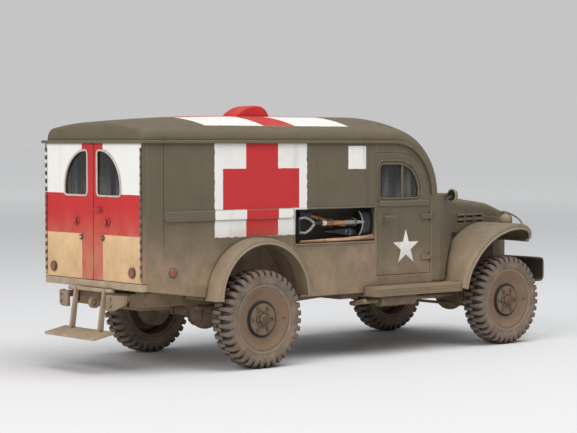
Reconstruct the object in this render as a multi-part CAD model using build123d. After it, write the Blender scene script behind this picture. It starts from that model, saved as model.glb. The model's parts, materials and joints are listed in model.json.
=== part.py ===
# Scale model of a military ambulance truck: separate kit pieces in one frame
# X points forward, Y to the left, Z up; the ground is Z 0
import os
from math import cos, radians, sin

from build123d import *

os.makedirs("parts", exist_ok=True)

# Driving dimensions in millimetres
OVERALL_LENGTH = 148.8
WHEELBASE = 87.8
FRONT_OVERHANG = 20.7
REAR_OVERHANG = 33.3
TRACK = 47.0
BODY_HALF = 21.35
FENDER_HALF = 27.0
TYRE_R = 12.25
TYRE_WIDTH = 6.8
RIM_R = 8.2
GUTTER_Z = 56.2
ROOF_Z = 63.0
COWL_Z = 42.0
FLOOR_Z = 21.0
DOOR_LENGTH = 19.35
ARCH_R = 15.0

# Material thicknesses and clearances
WALL = 1.2
SHEET = 0.8
ROOF_T = 1.1
FLOOR_T = 1.2
PANE_T = 0.4
SHUT_GAP = 0.12
PANE_GAP = 0.02
PIN_R = 1.1
PIN_CLEARANCE = 0.05

# Stations along the truck
FRONT_AXLE_X = OVERALL_LENGTH / 2 - FRONT_OVERHANG
REAR_AXLE_X = FRONT_AXLE_X - WHEELBASE
BUMPER_X = OVERALL_LENGTH / 2
STEP_X = -OVERALL_LENGTH / 2
REAR_X = REAR_AXLE_X - REAR_OVERHANG
BODY_REAR_X = REAR_X + WALL
DOOR_REAR_X = FRONT_AXLE_X - 45.3
DOOR_FRONT_X = DOOR_REAR_X + DOOR_LENGTH
TURN_X = DOOR_REAR_X + 6.0
BONNET_REAR_X = FRONT_AXLE_X - 10.4
NOSE_X = FRONT_AXLE_X + 15.1
ARCH_X = REAR_AXLE_X + 0.9
RECESS_X = (DOOR_REAR_X - 28.6, DOOR_REAR_X - 0.7)
RECESS_Z = (30.0, 39.2)
RECESS_DEPTH = 5.0

# Heights of the chassis
AXLE_Z = TYRE_R
RAIL_Z = (15.6, 19.2)
RAIL_Y = (10.2, 12.0)
SKIRT_Z = 16.6
SILL_Z = 20.4
DOOR_Z = 20.9
DOOR_TOP_Z = 53.3
ARCH_Z = 17.3
GUTTER_R = GUTTER_Z - COWL_Z
INNER_HALF = BODY_HALF - WALL
WHEEL_Y = TRACK / 2
DRUM_Y = (19.6, 21.4)
PIN_END_Y = WHEEL_Y + 1.7

# The spare wheel's place on the left side
SPARE_X = DOOR_REAR_X - 13.3
SPARE_Z = 30.5
SPARE_WELL_R = TYRE_R + 0.35
SPARE_WELL_Y = 17.6
SPARE_Y = SPARE_WELL_Y + 0.6 + TYRE_WIDTH / 2


# Helpers for drawing and placing
def block(x, y, z):
    size = [high - low for low, high in (x, y, z)]
    middle = [(high + low) / 2 for low, high in (x, y, z)]
    return Pos(*middle) * Box(*size)


def outline(*points):
    return make_face(Polyline(*points, close=True))


def side_slab(sketch, y_low, y_high):
    return extrude(Plane.XZ.offset(-y_high) * sketch, amount=y_high - y_low)


def cross_slab(sketch, x_low, x_high):
    return extrude(Plane.YZ.offset(x_low) * sketch, amount=x_high - x_low)


def level_slab(sketch, z_low, z_high):
    return extrude(Plane.XY.offset(z_low) * sketch, amount=z_high - z_low)


def rect(low, high):
    return outline(low, (high[0], low[1]), high, (low[0], high[1]))


def rod(start, end, radius):
    axis = Vector(*end) - Vector(*start)
    return extrude(Plane(origin=start, z_dir=axis) * Circle(radius), amount=axis.length)


def mirrored(shape):
    return mirror(shape, about=Plane.XZ)


def pair(shape):
    return [shape, mirrored(shape)]


def spun(points, x, y, z, sweep=360.0):
    # Points give distance along the axle and radius
    plane = Plane(origin=(x, y, z), x_dir=(0, 1, 0), z_dir=(0, 0, 1))
    face = plane * outline(*[(along, radius) for along, radius in points])
    return revolve(face, Axis((x, y, z), (0, 1, 0)), sweep)


def save(name, *shapes):
    solids = [solid for shape in shapes for solid in shape.solids()]
    export_step(solids[0] if len(solids) == 1 else Compound(solids), f"parts/{name}.step")


# Crowned section: upright edges, rolled shoulders and a shallow crown, all tangent
def crown_section(half, low, crown, roll, lean):
    rise, run = sin(radians(lean)), cos(radians(lean))
    crown_r = (half - roll * (1 - rise)) / rise
    side, shoulder = crown_r * rise, crown - crown_r * (1 - run)
    start = shoulder - roll * run
    mid = radians((90 - lean) / 2)
    bulge = (half - roll + roll * cos(mid), start + roll * sin(mid))
    return make_face([
        Line((-half, low), (half, low)),
        Line((half, low), (half, start)),
        ThreePointArc((half, start), bulge, (side, shoulder)),
        ThreePointArc((side, shoulder), (0, crown), (-side, shoulder)),
        ThreePointArc((-side, shoulder), (-bulge[0], bulge[1]), (-half, start)),
        Line((-half, start), (-half, low)),
    ])


# Glass collected from the windscreen, the cab doors and the rear doors
PANES = []

# Roof sections: distance from the rear face, crown height, shoulder roll, crown lean
ROOF_SECTIONS = [
    (0.0, ROOF_Z - 2.5, 2.6, 10.0),
    (13.0, ROOF_Z - 1.4, 2.9, 13.0),
    (27.0, ROOF_Z - 0.4, 3.1, 16.5),
    (43.0, ROOF_Z, 3.2, 18.0),
]


def roof_volume(inset, drop, sweep):
    faces = []
    for along, crown, roll, lean in ROOF_SECTIONS:
        x = REAR_X + max(along, inset)
        face = crown_section(BODY_HALF - inset, GUTTER_Z - drop, crown - inset, roll - inset, lean)
        faces.append(Plane.YZ.offset(x) * face)
    last = faces[-1]
    straight = extrude(last, amount=TURN_X - REAR_X - ROOF_SECTIONS[-1][0], dir=(1, 0, 0))
    turn_face = Pos(TURN_X - REAR_X - ROOF_SECTIONS[-1][0], 0, 0) * last
    turn = revolve(turn_face, Axis((TURN_X, 0, COWL_Z), (0, 1, 0)), sweep)
    return loft(faces) + straight + turn


def turn_shell(outer, inner):
    along, crown, roll, lean = ROOF_SECTIONS[-1]
    axis = Axis((TURN_X, 0, COWL_Z), (0, 1, 0))
    shells = []
    for inset, drop, sweep in ((outer, 0, 90), (inner, 1.0, 95)):
        face = crown_section(BODY_HALF - inset, GUTTER_Z - drop, crown - inset, roll - inset, lean)
        shells.append(revolve(Plane.YZ.offset(TURN_X) * face, axis, sweep))
    return shells[0] - shells[1]


def windscreen_face(shrink):
    low = (1.1 + shrink, COWL_Z + 2.0 + shrink)
    high = (16.8 - shrink, COWL_Z + 10.6 - shrink)
    return fillet(rect(low, high).vertices(), 1.6)


def windscreen_prism(shrink):
    prism = cross_slab(windscreen_face(shrink), TURN_X + 10, BONNET_REAR_X)
    return pair(prism)


def build_roof():
    shell = roof_volume(0, 0, 90) - roof_volume(ROOF_T, 1.0, 95)
    shell -= windscreen_prism(0)
    save("roof", shell)
    pane = turn_shell(0.3, 0.3 + PANE_T)
    PANES.extend(pane & prism for prism in windscreen_prism(PANE_GAP))

    # Drip rail along both gutters and across the rear
    reach, low, high = 0.7, 0.3, 0.45
    arc = Circle(GUTTER_R + high) - Circle(GUTTER_R - low)
    quarter = Pos(TURN_X, COWL_Z) * (arc & rect((0, 0), (GUTTER_R + 2, GUTTER_R + 2)))
    rail = rect((REAR_X, GUTTER_Z - low), (TURN_X, GUTTER_Z + high)) + quarter
    rails = pair(side_slab(rail, -BODY_HALF - reach, -BODY_HALF))
    rear_y = BODY_HALF + reach
    rear = block((REAR_X - reach, REAR_X), (-rear_y, rear_y), (GUTTER_Z - low, GUTTER_Z + high))
    save("drip_rail", rails[0] + rear + rails[1])

    # Rounded ventilator box on the roof
    vent_x, half, top = (REAR_X + 40.2, REAR_X + 56.6), 5.2, ROOF_Z + 2.9
    vent = block(vent_x, (-half, half), (ROOF_Z - 2, top))
    vent = fillet(vent.edges().filter_by(Axis.Z), 2.4)
    vent = fillet(vent.faces().sort_by(Axis.Z)[-1].edges(), 1.3)
    save("roof_ventilator", vent - roof_volume(0, 0, 90))


# Side walls with the wheel arches, the tool locker and the spare wheel's well
def wall_outline():
    arch_rear, arch_front = ARCH_X - ARCH_R, ARCH_X + ARCH_R
    wall = outline(
        (BODY_REAR_X, SILL_Z), (arch_rear, ARCH_Z + 0.8), (arch_front, SKIRT_Z),
        (DOOR_REAR_X, SKIRT_Z), (DOOR_REAR_X, GUTTER_Z), (BODY_REAR_X, GUTTER_Z),
    )
    return wall - Pos(ARCH_X, ARCH_Z) * Circle(ARCH_R) - rect((arch_rear, 0), (arch_front, ARCH_Z))


def belt(x_low, x_high):
    band = rect((x_low, 36.95), (x_high, 39.4))
    return side_slab(fillet(band.vertices(), 1.1), -BODY_HALF - 0.35, -BODY_HALF)


def build_side_walls():
    recess = rect((RECESS_X[0], RECESS_Z[0]), (RECESS_X[1], RECESS_Z[1]))
    band = belt(BODY_REAR_X + 5.0, RECESS_X[0] - 0.4)
    right = side_slab(wall_outline() - recess, -BODY_HALF, -INNER_HALF) + band
    save("side_wall_right", right)

    well = Pos(SPARE_X, SPARE_Z) * Circle(SPARE_WELL_R)
    left = mirrored(side_slab(wall_outline() - well, -BODY_HALF, -INNER_HALF) + band)
    pocket = Pos(SPARE_X, SPARE_Z) * (Circle(SPARE_WELL_R + 0.6) - Circle(SPARE_WELL_R))
    back = Pos(SPARE_X, SPARE_Z) * Circle(SPARE_WELL_R + 0.6)
    left += side_slab(pocket, SPARE_WELL_Y, INNER_HALF)
    left += side_slab(back, SPARE_WELL_Y - 0.6, SPARE_WELL_Y)
    save("side_wall_left", left)

    # Open-fronted tool locker behind the recess
    sheet = 0.6
    outer_x = (RECESS_X[0] - sheet, RECESS_X[1] + sheet)
    outer_z = (RECESS_Z[0] - sheet, RECESS_Z[1] + sheet)
    rear_y = -INNER_HALF + RECESS_DEPTH
    locker = block(outer_x, (-INNER_HALF, rear_y + sheet), outer_z)
    save("tool_locker", locker - block(RECESS_X, (-BODY_HALF, rear_y), RECESS_Z))


# Cab door opening, door leaf and panes
def door_face(grow):
    x_low, x_high = DOOR_REAR_X + SHUT_GAP - grow, DOOR_FRONT_X + grow
    z_low, radius = DOOR_Z - grow, DOOR_TOP_Z - COWL_Z + grow
    centre = x_high - radius
    mid = (centre + radius * sin(radians(45)), COWL_Z + radius * cos(radians(45)))
    return make_face([
        Line((x_low, z_low), (x_high, z_low)),
        Line((x_high, z_low), (x_high, COWL_Z)),
        ThreePointArc((x_high, COWL_Z), mid, (centre, COWL_Z + radius)),
        Line((centre, COWL_Z + radius), (x_low, COWL_Z + radius)),
        Line((x_low, COWL_Z + radius), (x_low, z_low)),
    ])


def door_window(shrink):
    x_low, x_high = DOOR_REAR_X + 1.0 + shrink, DOOR_REAR_X + 15.1 - shrink
    z_low, z_high = 41.4 + shrink, 50.3 - shrink
    radius = 7.4 - shrink
    centre_x, centre_z = x_high - radius, z_high - radius
    mid = (centre_x + radius * sin(radians(45)), centre_z + radius * cos(radians(45)))
    face = make_face([
        Line((x_low, z_low), (x_high, z_low)),
        Line((x_high, z_low), (x_high, centre_z)),
        ThreePointArc((x_high, centre_z), mid, (centre_x, z_high)),
        Line((centre_x, z_high), (x_low, z_high)),
        Line((x_low, z_high), (x_low, z_low)),
    ])
    rear_corners = face.vertices().sort_by(Axis.X)[:2]
    return fillet(rear_corners, 1.4)


def build_cab_sides():
    turn = Pos(TURN_X, COWL_Z) * Circle(GUTTER_R)
    front = TURN_X + GUTTER_R
    side = rect((DOOR_REAR_X, SKIRT_Z), (TURN_X, GUTTER_Z))
    side += rect((TURN_X, SKIRT_Z), (front, COWL_Z))
    side += turn & rect((TURN_X, COWL_Z), (front, GUTTER_Z))
    opening = door_face(SHUT_GAP)
    save("cab_door_frames", *pair(side_slab(side - opening, -BODY_HALF, -INNER_HALF)))

    divider_x = DOOR_REAR_X + 9.2
    leaf = door_face(0) - door_window(0)
    leaf += rect((divider_x - 0.3, 41.0), (divider_x + 0.3, 50.6))
    door = side_slab(leaf, -BODY_HALF, -INNER_HALF)
    band = rect((DOOR_REAR_X + 0.6, 39.2), (DOOR_FRONT_X - 0.5, 40.6))
    door += side_slab(band, -BODY_HALF - 0.3, -BODY_HALF)
    door += rod((DOOR_REAR_X + 2.4, -BODY_HALF, 36.4), (DOOR_REAR_X + 2.4, -BODY_HALF - 0.9, 36.4), 0.4)
    door += block(
        (DOOR_REAR_X + 2.0, DOOR_REAR_X + 5.4), (-BODY_HALF - 1.3, -BODY_HALF - 0.8), (36.1, 36.7)
    )
    for z in (25.2, 36.2):
        door += block((DOOR_FRONT_X - 3.2, DOOR_FRONT_X), (-BODY_HALF - 0.4, -BODY_HALF), (z - 0.6, z + 0.6))
    save("cab_door_right", door)
    save("cab_door_left", mirrored(door))

    rear_y = -INNER_HALF - 0.4
    bar = rect((divider_x - 0.3 - PANE_GAP, 40.0), (divider_x + 0.3 + PANE_GAP, 52.0))
    pane = side_slab(door_window(PANE_GAP) - bar, rear_y - PANE_T, rear_y)
    PANES.extend(pair(pane))


# Rear doors, panes and sill
def rear_window(shrink):
    y_low, y_high = 2.1 + shrink, 12.3 - shrink
    z_low, z_high = 43.0 + shrink, 54.2 - shrink
    return make_face([
        Line((y_low, z_low), (y_high, z_low)),
        Line((y_high, z_low), (y_high, z_low + 2.4)),
        ThreePointArc((y_high, z_low + 2.4), (y_high - 2.4, z_high - 3.0), (y_low + 1.8, z_high)),
        Line((y_low + 1.8, z_high), (y_low, z_high)),
        Line((y_low, z_high), (y_low, z_low)),
    ])


def build_rear():
    leaf = rect((SHUT_GAP / 2, SILL_Z + 1.9), (BODY_HALF, GUTTER_Z - SHUT_GAP))
    leaf = cross_slab(leaf - rear_window(0), REAR_X, BODY_REAR_X)
    for y, z in ((7.0, 36.9), (17.2, 24.8)):
        leaf += rod((REAR_X, y, z), (REAR_X - 0.4, y, z), 0.9)
    handle = rod((REAR_X, -2.85, 39.7), (REAR_X - 0.9, -2.85, 39.7), 0.45)
    handle += block((REAR_X - 1.3, REAR_X - 0.8), (-4.9, -2.4), (39.4, 40.0))
    save("rear_door_left", leaf)
    save("rear_door_right", mirrored(leaf) + handle)
    pane = cross_slab(rear_window(PANE_GAP), REAR_X + 0.4, REAR_X + 0.4 + PANE_T)
    PANES.extend(pair(pane))
    save("rear_sill", block((REAR_X, BODY_REAR_X), (-BODY_HALF, BODY_HALF), (SILL_Z, SILL_Z + 1.9 - SHUT_GAP)))

    # Folding step hung below the sill
    tube_r, arm_y, tread_half = 0.5, 6.2, 11.0
    tube_x, tube_z = REAR_X - 0.5, SILL_Z - tube_r
    step = rod((tube_x, -9.5, tube_z), (tube_x, 9.5, tube_z), tube_r)
    arm = outline(
        (tube_x - 0.6, tube_z + 0.4), (tube_x + 0.4, tube_z + 0.4),
        (STEP_X + 5.6, 9.6), (STEP_X + 4.2, 9.3),
    )
    for y in (-arm_y, arm_y):
        step += side_slab(arm, y - 0.4, y + 0.4)
    tread = outline((STEP_X, 8.4), (STEP_X + 6.0, 9.6), (STEP_X + 6.0, 10.2), (STEP_X, 9.0))
    step += side_slab(tread, -tread_half, tread_half)
    save("rear_step", step)


# Floor with its bearers, and the furniture seen through the glass
BEARER_X = (REAR_X + 5.5, REAR_X + 53.0, REAR_X + 70.0, DOOR_FRONT_X - 3.0)
HOUSE_Y = 13.0


def build_inside():
    side = INNER_HALF - PANE_GAP
    front = TURN_X + GUTTER_R
    top = FLOOR_Z + FLOOR_T
    floor = block((BODY_REAR_X, front), (-side, side), (FLOOR_Z, top))
    house = (ARCH_X - ARCH_R - 0.8, ARCH_X + ARCH_R + 0.8)
    for y in ((-side, -HOUSE_Y), (HOUSE_Y, side)):
        floor -= block(house, y, (FLOOR_Z, top))
    well = Pos(SPARE_X, SPARE_Z) * Circle(SPARE_WELL_R + 0.6)
    floor -= side_slab(well, SPARE_WELL_Y - 0.6, INNER_HALF)
    for x in BEARER_X:
        floor += block((x - 1, x + 1), (-RAIL_Y[1], RAIL_Y[1]), (RAIL_Z[1], FLOOR_Z))
    save("floor", floor)

    seat_x = DOOR_REAR_X + 1.6
    seat = block((seat_x + 1.0, seat_x + 9.0), (4.0, 14.0), (top, 27.0))
    seat += block((seat_x, seat_x + 10.0), (3.6, 14.4), (27.0, 29.6))
    seat += block((seat_x, seat_x + 2.0), (3.6, 14.4), (29.6, 40.0))
    save("seats", *pair(seat))

    wall = rect((-side, top), (side, GUTTER_Z - 0.4)) - rect((-5.0, 42.0), (5.0, 50.0))
    save("partition", cross_slab(wall, DOOR_REAR_X - 0.9 + 1.0, DOOR_REAR_X + 1.0))

    bench_z = ARCH_Z + ARCH_R + 0.7
    bench = block((BODY_REAR_X + 1.5, RECESS_X[0] - 1.6), (9.0, side), (bench_z, bench_z + 1.4))
    for x in (BODY_REAR_X + 2.5, RECESS_X[0] - 3.5):
        bench += block((x, x + 1.2), (9.4, 10.6), (top, bench_z))
    save("stretcher_benches", *pair(bench))

    dash_x = front + 2.0
    dash = block((dash_x, dash_x + 2.6), (-16.5, 16.5), (35.5, COWL_Z - 1.0))
    save("dashboard", dash)
    ring_r, foot, hub = 3.3, (dash_x + 0.5, 9.0, 38.0), (dash_x - 6.0, 9.0, 40.6)
    lean = Plane(origin=hub, x_dir=(0, 1, 0), z_dir=(hub[0] - foot[0], 0, hub[2] - foot[2]))
    spokes = Pos(0, 0, -0.25) * (Box(2 * ring_r, 0.5, 0.3) + Box(0.5, 2 * ring_r, 0.3))
    steering = lean * (Torus(ring_r, 0.35) + spokes + Cylinder(0.8, 0.9))
    save("steering_wheel", rod(foot, hub, 0.45) + steering - dash)


# Cowl, bonnet, grille and lamps
COWL_PLAN = [
    (TURN_X + GUTTER_R, BODY_HALF), (TURN_X + GUTTER_R + 3.0, BODY_HALF),
    (TURN_X + GUTTER_R + 6.6, BODY_HALF - 1.7), (BONNET_REAR_X, 14.2),
]
# Bonnet sections: x, half width, lower edge, crown height
BONNET_SECTIONS = [
    (BONNET_REAR_X, 14.2, 36.8, 41.6),
    (NOSE_X - 6.8, 10.9, 35.04, 39.3),
    (NOSE_X, 9.7, 34.4, 37.0),
]


def plan_ring(points, inset):
    right = [(x, -(y - inset)) for x, y in points]
    left = [(x, y - inset) for x, y in reversed(points)]
    return outline(*right, *left)


def bonnet_volume(inset, drop):
    faces = []
    for x, half, low, crown in BONNET_SECTIONS:
        roll = min(2.0, (crown - low) * 0.5)
        face = crown_section(half - inset, low - drop, crown - inset, roll - inset * 0.5, 8.0)
        faces.append(Plane.YZ.offset(x) * face)
    return loft(faces, ruled=True)


def nose_plan(inset):
    return plan_ring([(x, half) for x, half, low, crown in BONNET_SECTIONS], inset)


def build_nose():
    front = TURN_X + GUTTER_R
    cowl = level_slab(plan_ring(COWL_PLAN, 0), SKIRT_Z + 2.0, COWL_Z)
    inside = plan_ring([(x, y) for x, y in COWL_PLAN], 1.0)
    cowl -= level_slab(inside, 0, COWL_Z - 1.0) & block((front - 1, BONNET_REAR_X - 1.0), (-30, 30), (0, 60))
    cowl -= block((front, BONNET_REAR_X), (-14.0, 14.0), (0, RAIL_Z[1] + 1.8))
    save("cowl", cowl)

    bonnet = bonnet_volume(0, 0) - bonnet_volume(SHEET, 1.0)
    save("bonnet", bonnet)

    low = RAIL_Z[1]
    side_view = outline(
        (BONNET_REAR_X, low), (NOSE_X, low), (NOSE_X, BONNET_SECTIONS[-1][2]),
        (BONNET_REAR_X, BONNET_SECTIONS[0][2]),
    )
    sides = level_slab(nose_plan(0) - nose_plan(SHEET), low, 40.0)
    sides &= side_slab(side_view, -30, 30)
    for row in range(2):
        for column in range(3):
            x, z = BONNET_REAR_X + 2.8 + 4.4 * column, 33.6 + 1.4 * row
            sides -= block((x, x + 3.4), (-30, 30), (z, z + 0.7))
    save("bonnet_sides", sides)

    # Upright bars in a frame across the nose
    grille_x = (NOSE_X, NOSE_X + 1.0)
    half, low, high = 9.7, RAIL_Z[1] + 1.0, BONNET_SECTIONS[-1][2] + 1.4
    grille = block(grille_x, (-half, half), (low, low + 1.2))
    grille += block(grille_x, (-half, half), (high - 1.2, high))
    for index in range(11):
        y = -half + 0.5 + index * (2 * half - 1.0) / 10
        grille += block(grille_x, (y - 0.45, y + 0.45), (low, high))
    save("grille", grille)
    save("radiator", block((NOSE_X - 5.0, NOSE_X - 2.4), (-8.6, 8.6), (RAIL_Z[1], 33.0)))


# Fender side view: upper curve, then the same curve inset
def fender_face(inset):
    points = [(-17.9, 16.6), (-11.1, 27.0), (-0.7, 32.8), (6.5, 32.9), (11.9, 29.6)]
    inner = [(1.0, 0.0), (0.75, -0.6), (0.2, -0.95), (-0.15, -0.9), (-0.65, -0.65)]
    upper = [(FRONT_AXLE_X + x, z) for x, z in points]
    lower = [(x + inset * dx, z + inset * dz) for (x, z), (dx, dz) in zip(upper, inner)]
    return make_face([
        ThreePointArc(upper[0], upper[1], upper[2]),
        ThreePointArc(upper[2], upper[3], upper[4]),
        Line(upper[4], lower[4]),
        ThreePointArc(lower[4], lower[3], lower[2]),
        ThreePointArc(lower[2], lower[1], lower[0]),
        Line(lower[0], upper[0]),
    ])


def build_fenders():
    inner = level_slab(nose_plan(0), 0, 60) + level_slab(plan_ring(COWL_PLAN, 0), 0, 60)
    fender = side_slab(fender_face(SHEET), -FENDER_HALF, -9.0)
    fender += side_slab(fender_face(2.2), -FENDER_HALF, -FENDER_HALF + SHEET)
    fender -= inner
    save("front_fenders", *pair(fender))

    # Headlamps stand on the fenders, behind curved guard bars
    lamp_x, lamp_y, lamp_z, lamp_r = FRONT_AXLE_X + 9.0, -14.6, 34.9, 2.3
    lamp = rod((lamp_x - 1.2, lamp_y, lamp_z), (lamp_x + 2.6, lamp_y, lamp_z), lamp_r)
    lamp = fillet(lamp.edges().sort_by(Axis.X)[0], 1.1)
    lamp += rod((lamp_x + 0.6, lamp_y, 28.0), (lamp_x + 0.6, lamp_y, lamp_z), 0.9)
    lamp -= side_slab(fender_face(30.0), -FENDER_HALF, -9.0)
    lamp -= fender
    lamp = lamp.solids().sort_by(Axis.Z)[-1]
    save("headlamps", *pair(lamp))
    start, middle, end = (NOSE_X - 0.6, -9.2, 35.6), (NOSE_X + 1.0, -14.6, 35.0), (NOSE_X - 4.0, -19.4, 30.6)
    path = ThreePointArc(start, middle, end)
    bar = sweep(Plane(origin=start, z_dir=path % 0) * Circle(0.4), path)
    bar -= bonnet_volume(0, 0)
    bar -= fender
    bar -= block((NOSE_X, NOSE_X + 1.0), (-9.7, 9.7), (RAIL_Z[1], 40.0))
    bar = bar.solids().sort_by(SortBy.VOLUME)[-1]
    save("lamp_guards", *pair(bar))

    # Rear fenders stand out round the arches; wheel houses close them inside
    arch = [
        (-BODY_HALF, ARCH_R + 1.4), (-24.4, ARCH_R + 1.1), (-25.7, ARCH_R + 0.6), (-26.3, ARCH_R - 0.1),
        (-26.3, ARCH_R - 0.9), (-25.6, ARCH_R - 0.9), (-25.5, ARCH_R), (-24.2, ARCH_R + 0.4),
        (-BODY_HALF, ARCH_R + 0.7),
    ]
    fender = spun(arch, ARCH_X, 0, ARCH_Z, 360)
    fender &= block((ARCH_X - 30, ARCH_X + 30), (-30, 0), (ARCH_Z, 60))
    house = [
        (-INNER_HALF, ARCH_R), (-INNER_HALF, ARCH_R + 0.7), (-HOUSE_Y, ARCH_R + 0.7),
        (-HOUSE_Y, 0), (-HOUSE_Y - 0.6, 0), (-HOUSE_Y - 0.6, ARCH_R),
    ]
    house = spun(house, ARCH_X, 0, ARCH_Z, 360)
    house &= block((ARCH_X - 30, ARCH_X + 30), (-30, 0), (ARCH_Z, 60))
    save("rear_fenders", *pair(fender), *pair(house))

    board_x = (DOOR_REAR_X - 4.6, FRONT_AXLE_X - 17.9)
    board = block(board_x, (-26.0, -BODY_HALF), (15.7, 18.1)) - block(
        (board_x[0] + 0.6, board_x[1] - 0.6), (-25.4, -BODY_HALF), (15.0, 17.5)
    )
    for x in (board_x[0] + 6.0, board_x[1] - 10.0):
        board += block((x, x + 1.6), (-25.4, -RAIL_Y[1]), (SKIRT_Z - 0.9, SKIRT_Z))
    save("running_boards", *pair(board))


# Chassis and running gear
CROSS_X = (REAR_X + 3.0, REAR_AXLE_X + 17.0, DOOR_REAR_X + 8.4, FRONT_AXLE_X + 4.0)


def build_chassis():
    rail_x = (REAR_X + 3.0, BUMPER_X - 2.4)
    rail = block(rail_x, RAIL_Y, RAIL_Z)
    rail -= block(rail_x, (RAIL_Y[0], RAIL_Y[1] - 0.6), (RAIL_Z[0] + 0.6, RAIL_Z[1] - 0.6))
    save("frame_rails", *pair(rail))
    members = []
    for index, x in enumerate(CROSS_X):
        high = RAIL_Z[1] if index == 0 else RAIL_Z[0] + 1.4
        members.append(block((x, x + 1.4), (-RAIL_Y[0], RAIL_Y[0]), (RAIL_Z[0], high)))
    save("frame_crossmembers", *members)

    bumper_x, bumper_half = (BUMPER_X - 2.4, BUMPER_X), 21.6
    bumper = block(bumper_x, (-bumper_half, bumper_half), (16.7, 22.2))
    ends = [e for e in bumper.edges().filter_by(Axis.Z) if e.center().X > BUMPER_X - 1]
    bumper = fillet(ends, 2.0)
    bumper -= block((BUMPER_X - 3, BUMPER_X - 0.8), (-bumper_half + 1.4, bumper_half - 1.4), (17.5, 21.4))
    bumper += block((BUMPER_X - 2.4, BUMPER_X - 0.6), RAIL_Y, (17.0, 19.0))
    bumper += block((BUMPER_X - 2.4, BUMPER_X - 0.6), (-RAIL_Y[1], -RAIL_Y[0]), (17.0, 19.0))
    save("front_bumper", bumper)

    hook_x, hook_y = BUMPER_X - 5.4, (RAIL_Y[0] + RAIL_Y[1]) / 2
    hook = Pos(hook_x, RAIL_Z[1] + 2.4) * (Circle(1.5) - Circle(0.75))
    hook += rect((hook_x - 0.9, RAIL_Z[1]), (hook_x + 0.9, RAIL_Z[1] + 1.2))
    hook = hook - Pos(hook_x, RAIL_Z[1] + 2.4) * Circle(0.75)
    hooks = pair(side_slab(hook, hook_y - 0.5, hook_y + 0.5))

    guard_x = (REAR_X - 2.2, REAR_X - 1.0)
    guard = block(guard_x, (7.5, 15.2), (15.1, 19.3))
    outer = [e for e in guard.edges().filter_by(Axis.Z) if e.center().Y > 12 and e.center().X < REAR_X - 2]
    guard = fillet(outer, 1.0)
    guard += block((REAR_X - 1.0, REAR_X + 3.0), (10.3, 11.9), (17.4, 19.0))
    save("rear_bumpers", *pair(guard))

    pintle_x, pintle_z = REAR_X + 0.4, 16.6
    pintle = rod((REAR_X + 3.0, 0, pintle_z), (pintle_x + 0.9, 0, pintle_z), 0.8)
    ring = Pos(pintle_x, pintle_z) * (Circle(1.4) - Circle(0.7))
    eye = Pos(pintle_x, pintle_z) * Circle(0.7)
    pintle = pintle + side_slab(ring, -0.6, 0.6) - side_slab(eye, -2, 2)
    save("tow_fittings", *hooks, pintle)

    # Engine with gearbox, transfer case and shafts
    engine = block((FRONT_AXLE_X - 9.0, FRONT_AXLE_X + 8.0), (-6.0, 6.0), (RAIL_Z[0] + 1.4, 33.0))
    engine += block((DOOR_REAR_X + 13.6, FRONT_AXLE_X - 9.0), (-3.4, 3.4), (RAIL_Z[0] + 1.4, RAIL_Z[1]))
    save("engine_block", engine)
    case_x = (DOOR_REAR_X + 1.6, CROSS_X[2])
    case = block(case_x, (-4.6, 4.6), (13.4, 20.2))
    save("transfer_case", case)
    rear_nose, front_nose = REAR_AXLE_X + 4.6, FRONT_AXLE_X - 4.6
    # Shafts: rear end x, front end x, y, rear end z, front end z, radius
    shafts = []
    for rear, fore, y, rear_z, fore_z, radius in (
        (case_x[1], DOOR_REAR_X + 13.6, 0.0, 18.4, 18.4, 0.7),
        (rear_nose, case_x[0], -2.0, AXLE_Z, 15.0, 0.65),
        (case_x[1], front_nose, -3.4, 14.3, AXLE_Z, 0.6),
    ):
        shaft = rod((rear, y, rear_z), (fore, y, fore_z), radius)
        shafts.append(shaft & block((rear, fore), (-9, 9), (0, FLOOR_Z)))
    save("propeller_shafts", *shafts)
    muffler_y, muffler_z, muffler_x = -15.2, 13.6, DOOR_REAR_X + 6.0
    exhaust = rod((muffler_x, muffler_y, muffler_z), (muffler_x + 13.0, muffler_y, muffler_z), 1.7)
    exhaust += block((muffler_x + 6.0, muffler_x + 7.0), (muffler_y - 0.5, muffler_y + 0.5), (muffler_z, FLOOR_Z))
    exhaust += rod((muffler_x + 12.5, muffler_y, muffler_z), (FRONT_AXLE_X - 9.6, -13.2, 13.6), 0.6)
    bend = (DOOR_REAR_X - 5.6, -17.5, 13.6)
    exhaust += rod((muffler_x + 0.5, muffler_y, muffler_z), bend, 0.6)
    exhaust += Pos(*bend) * Sphere(0.6)
    exhaust += rod(bend, (DOOR_REAR_X - 6.2, -23.6, 14.6), 0.6)
    save("exhaust", exhaust)
    save("fuel_tank", block((REAR_X + 8.0, REAR_X + 17.0), (-9.0, 9.0), (14.6, FLOOR_Z)))


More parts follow.
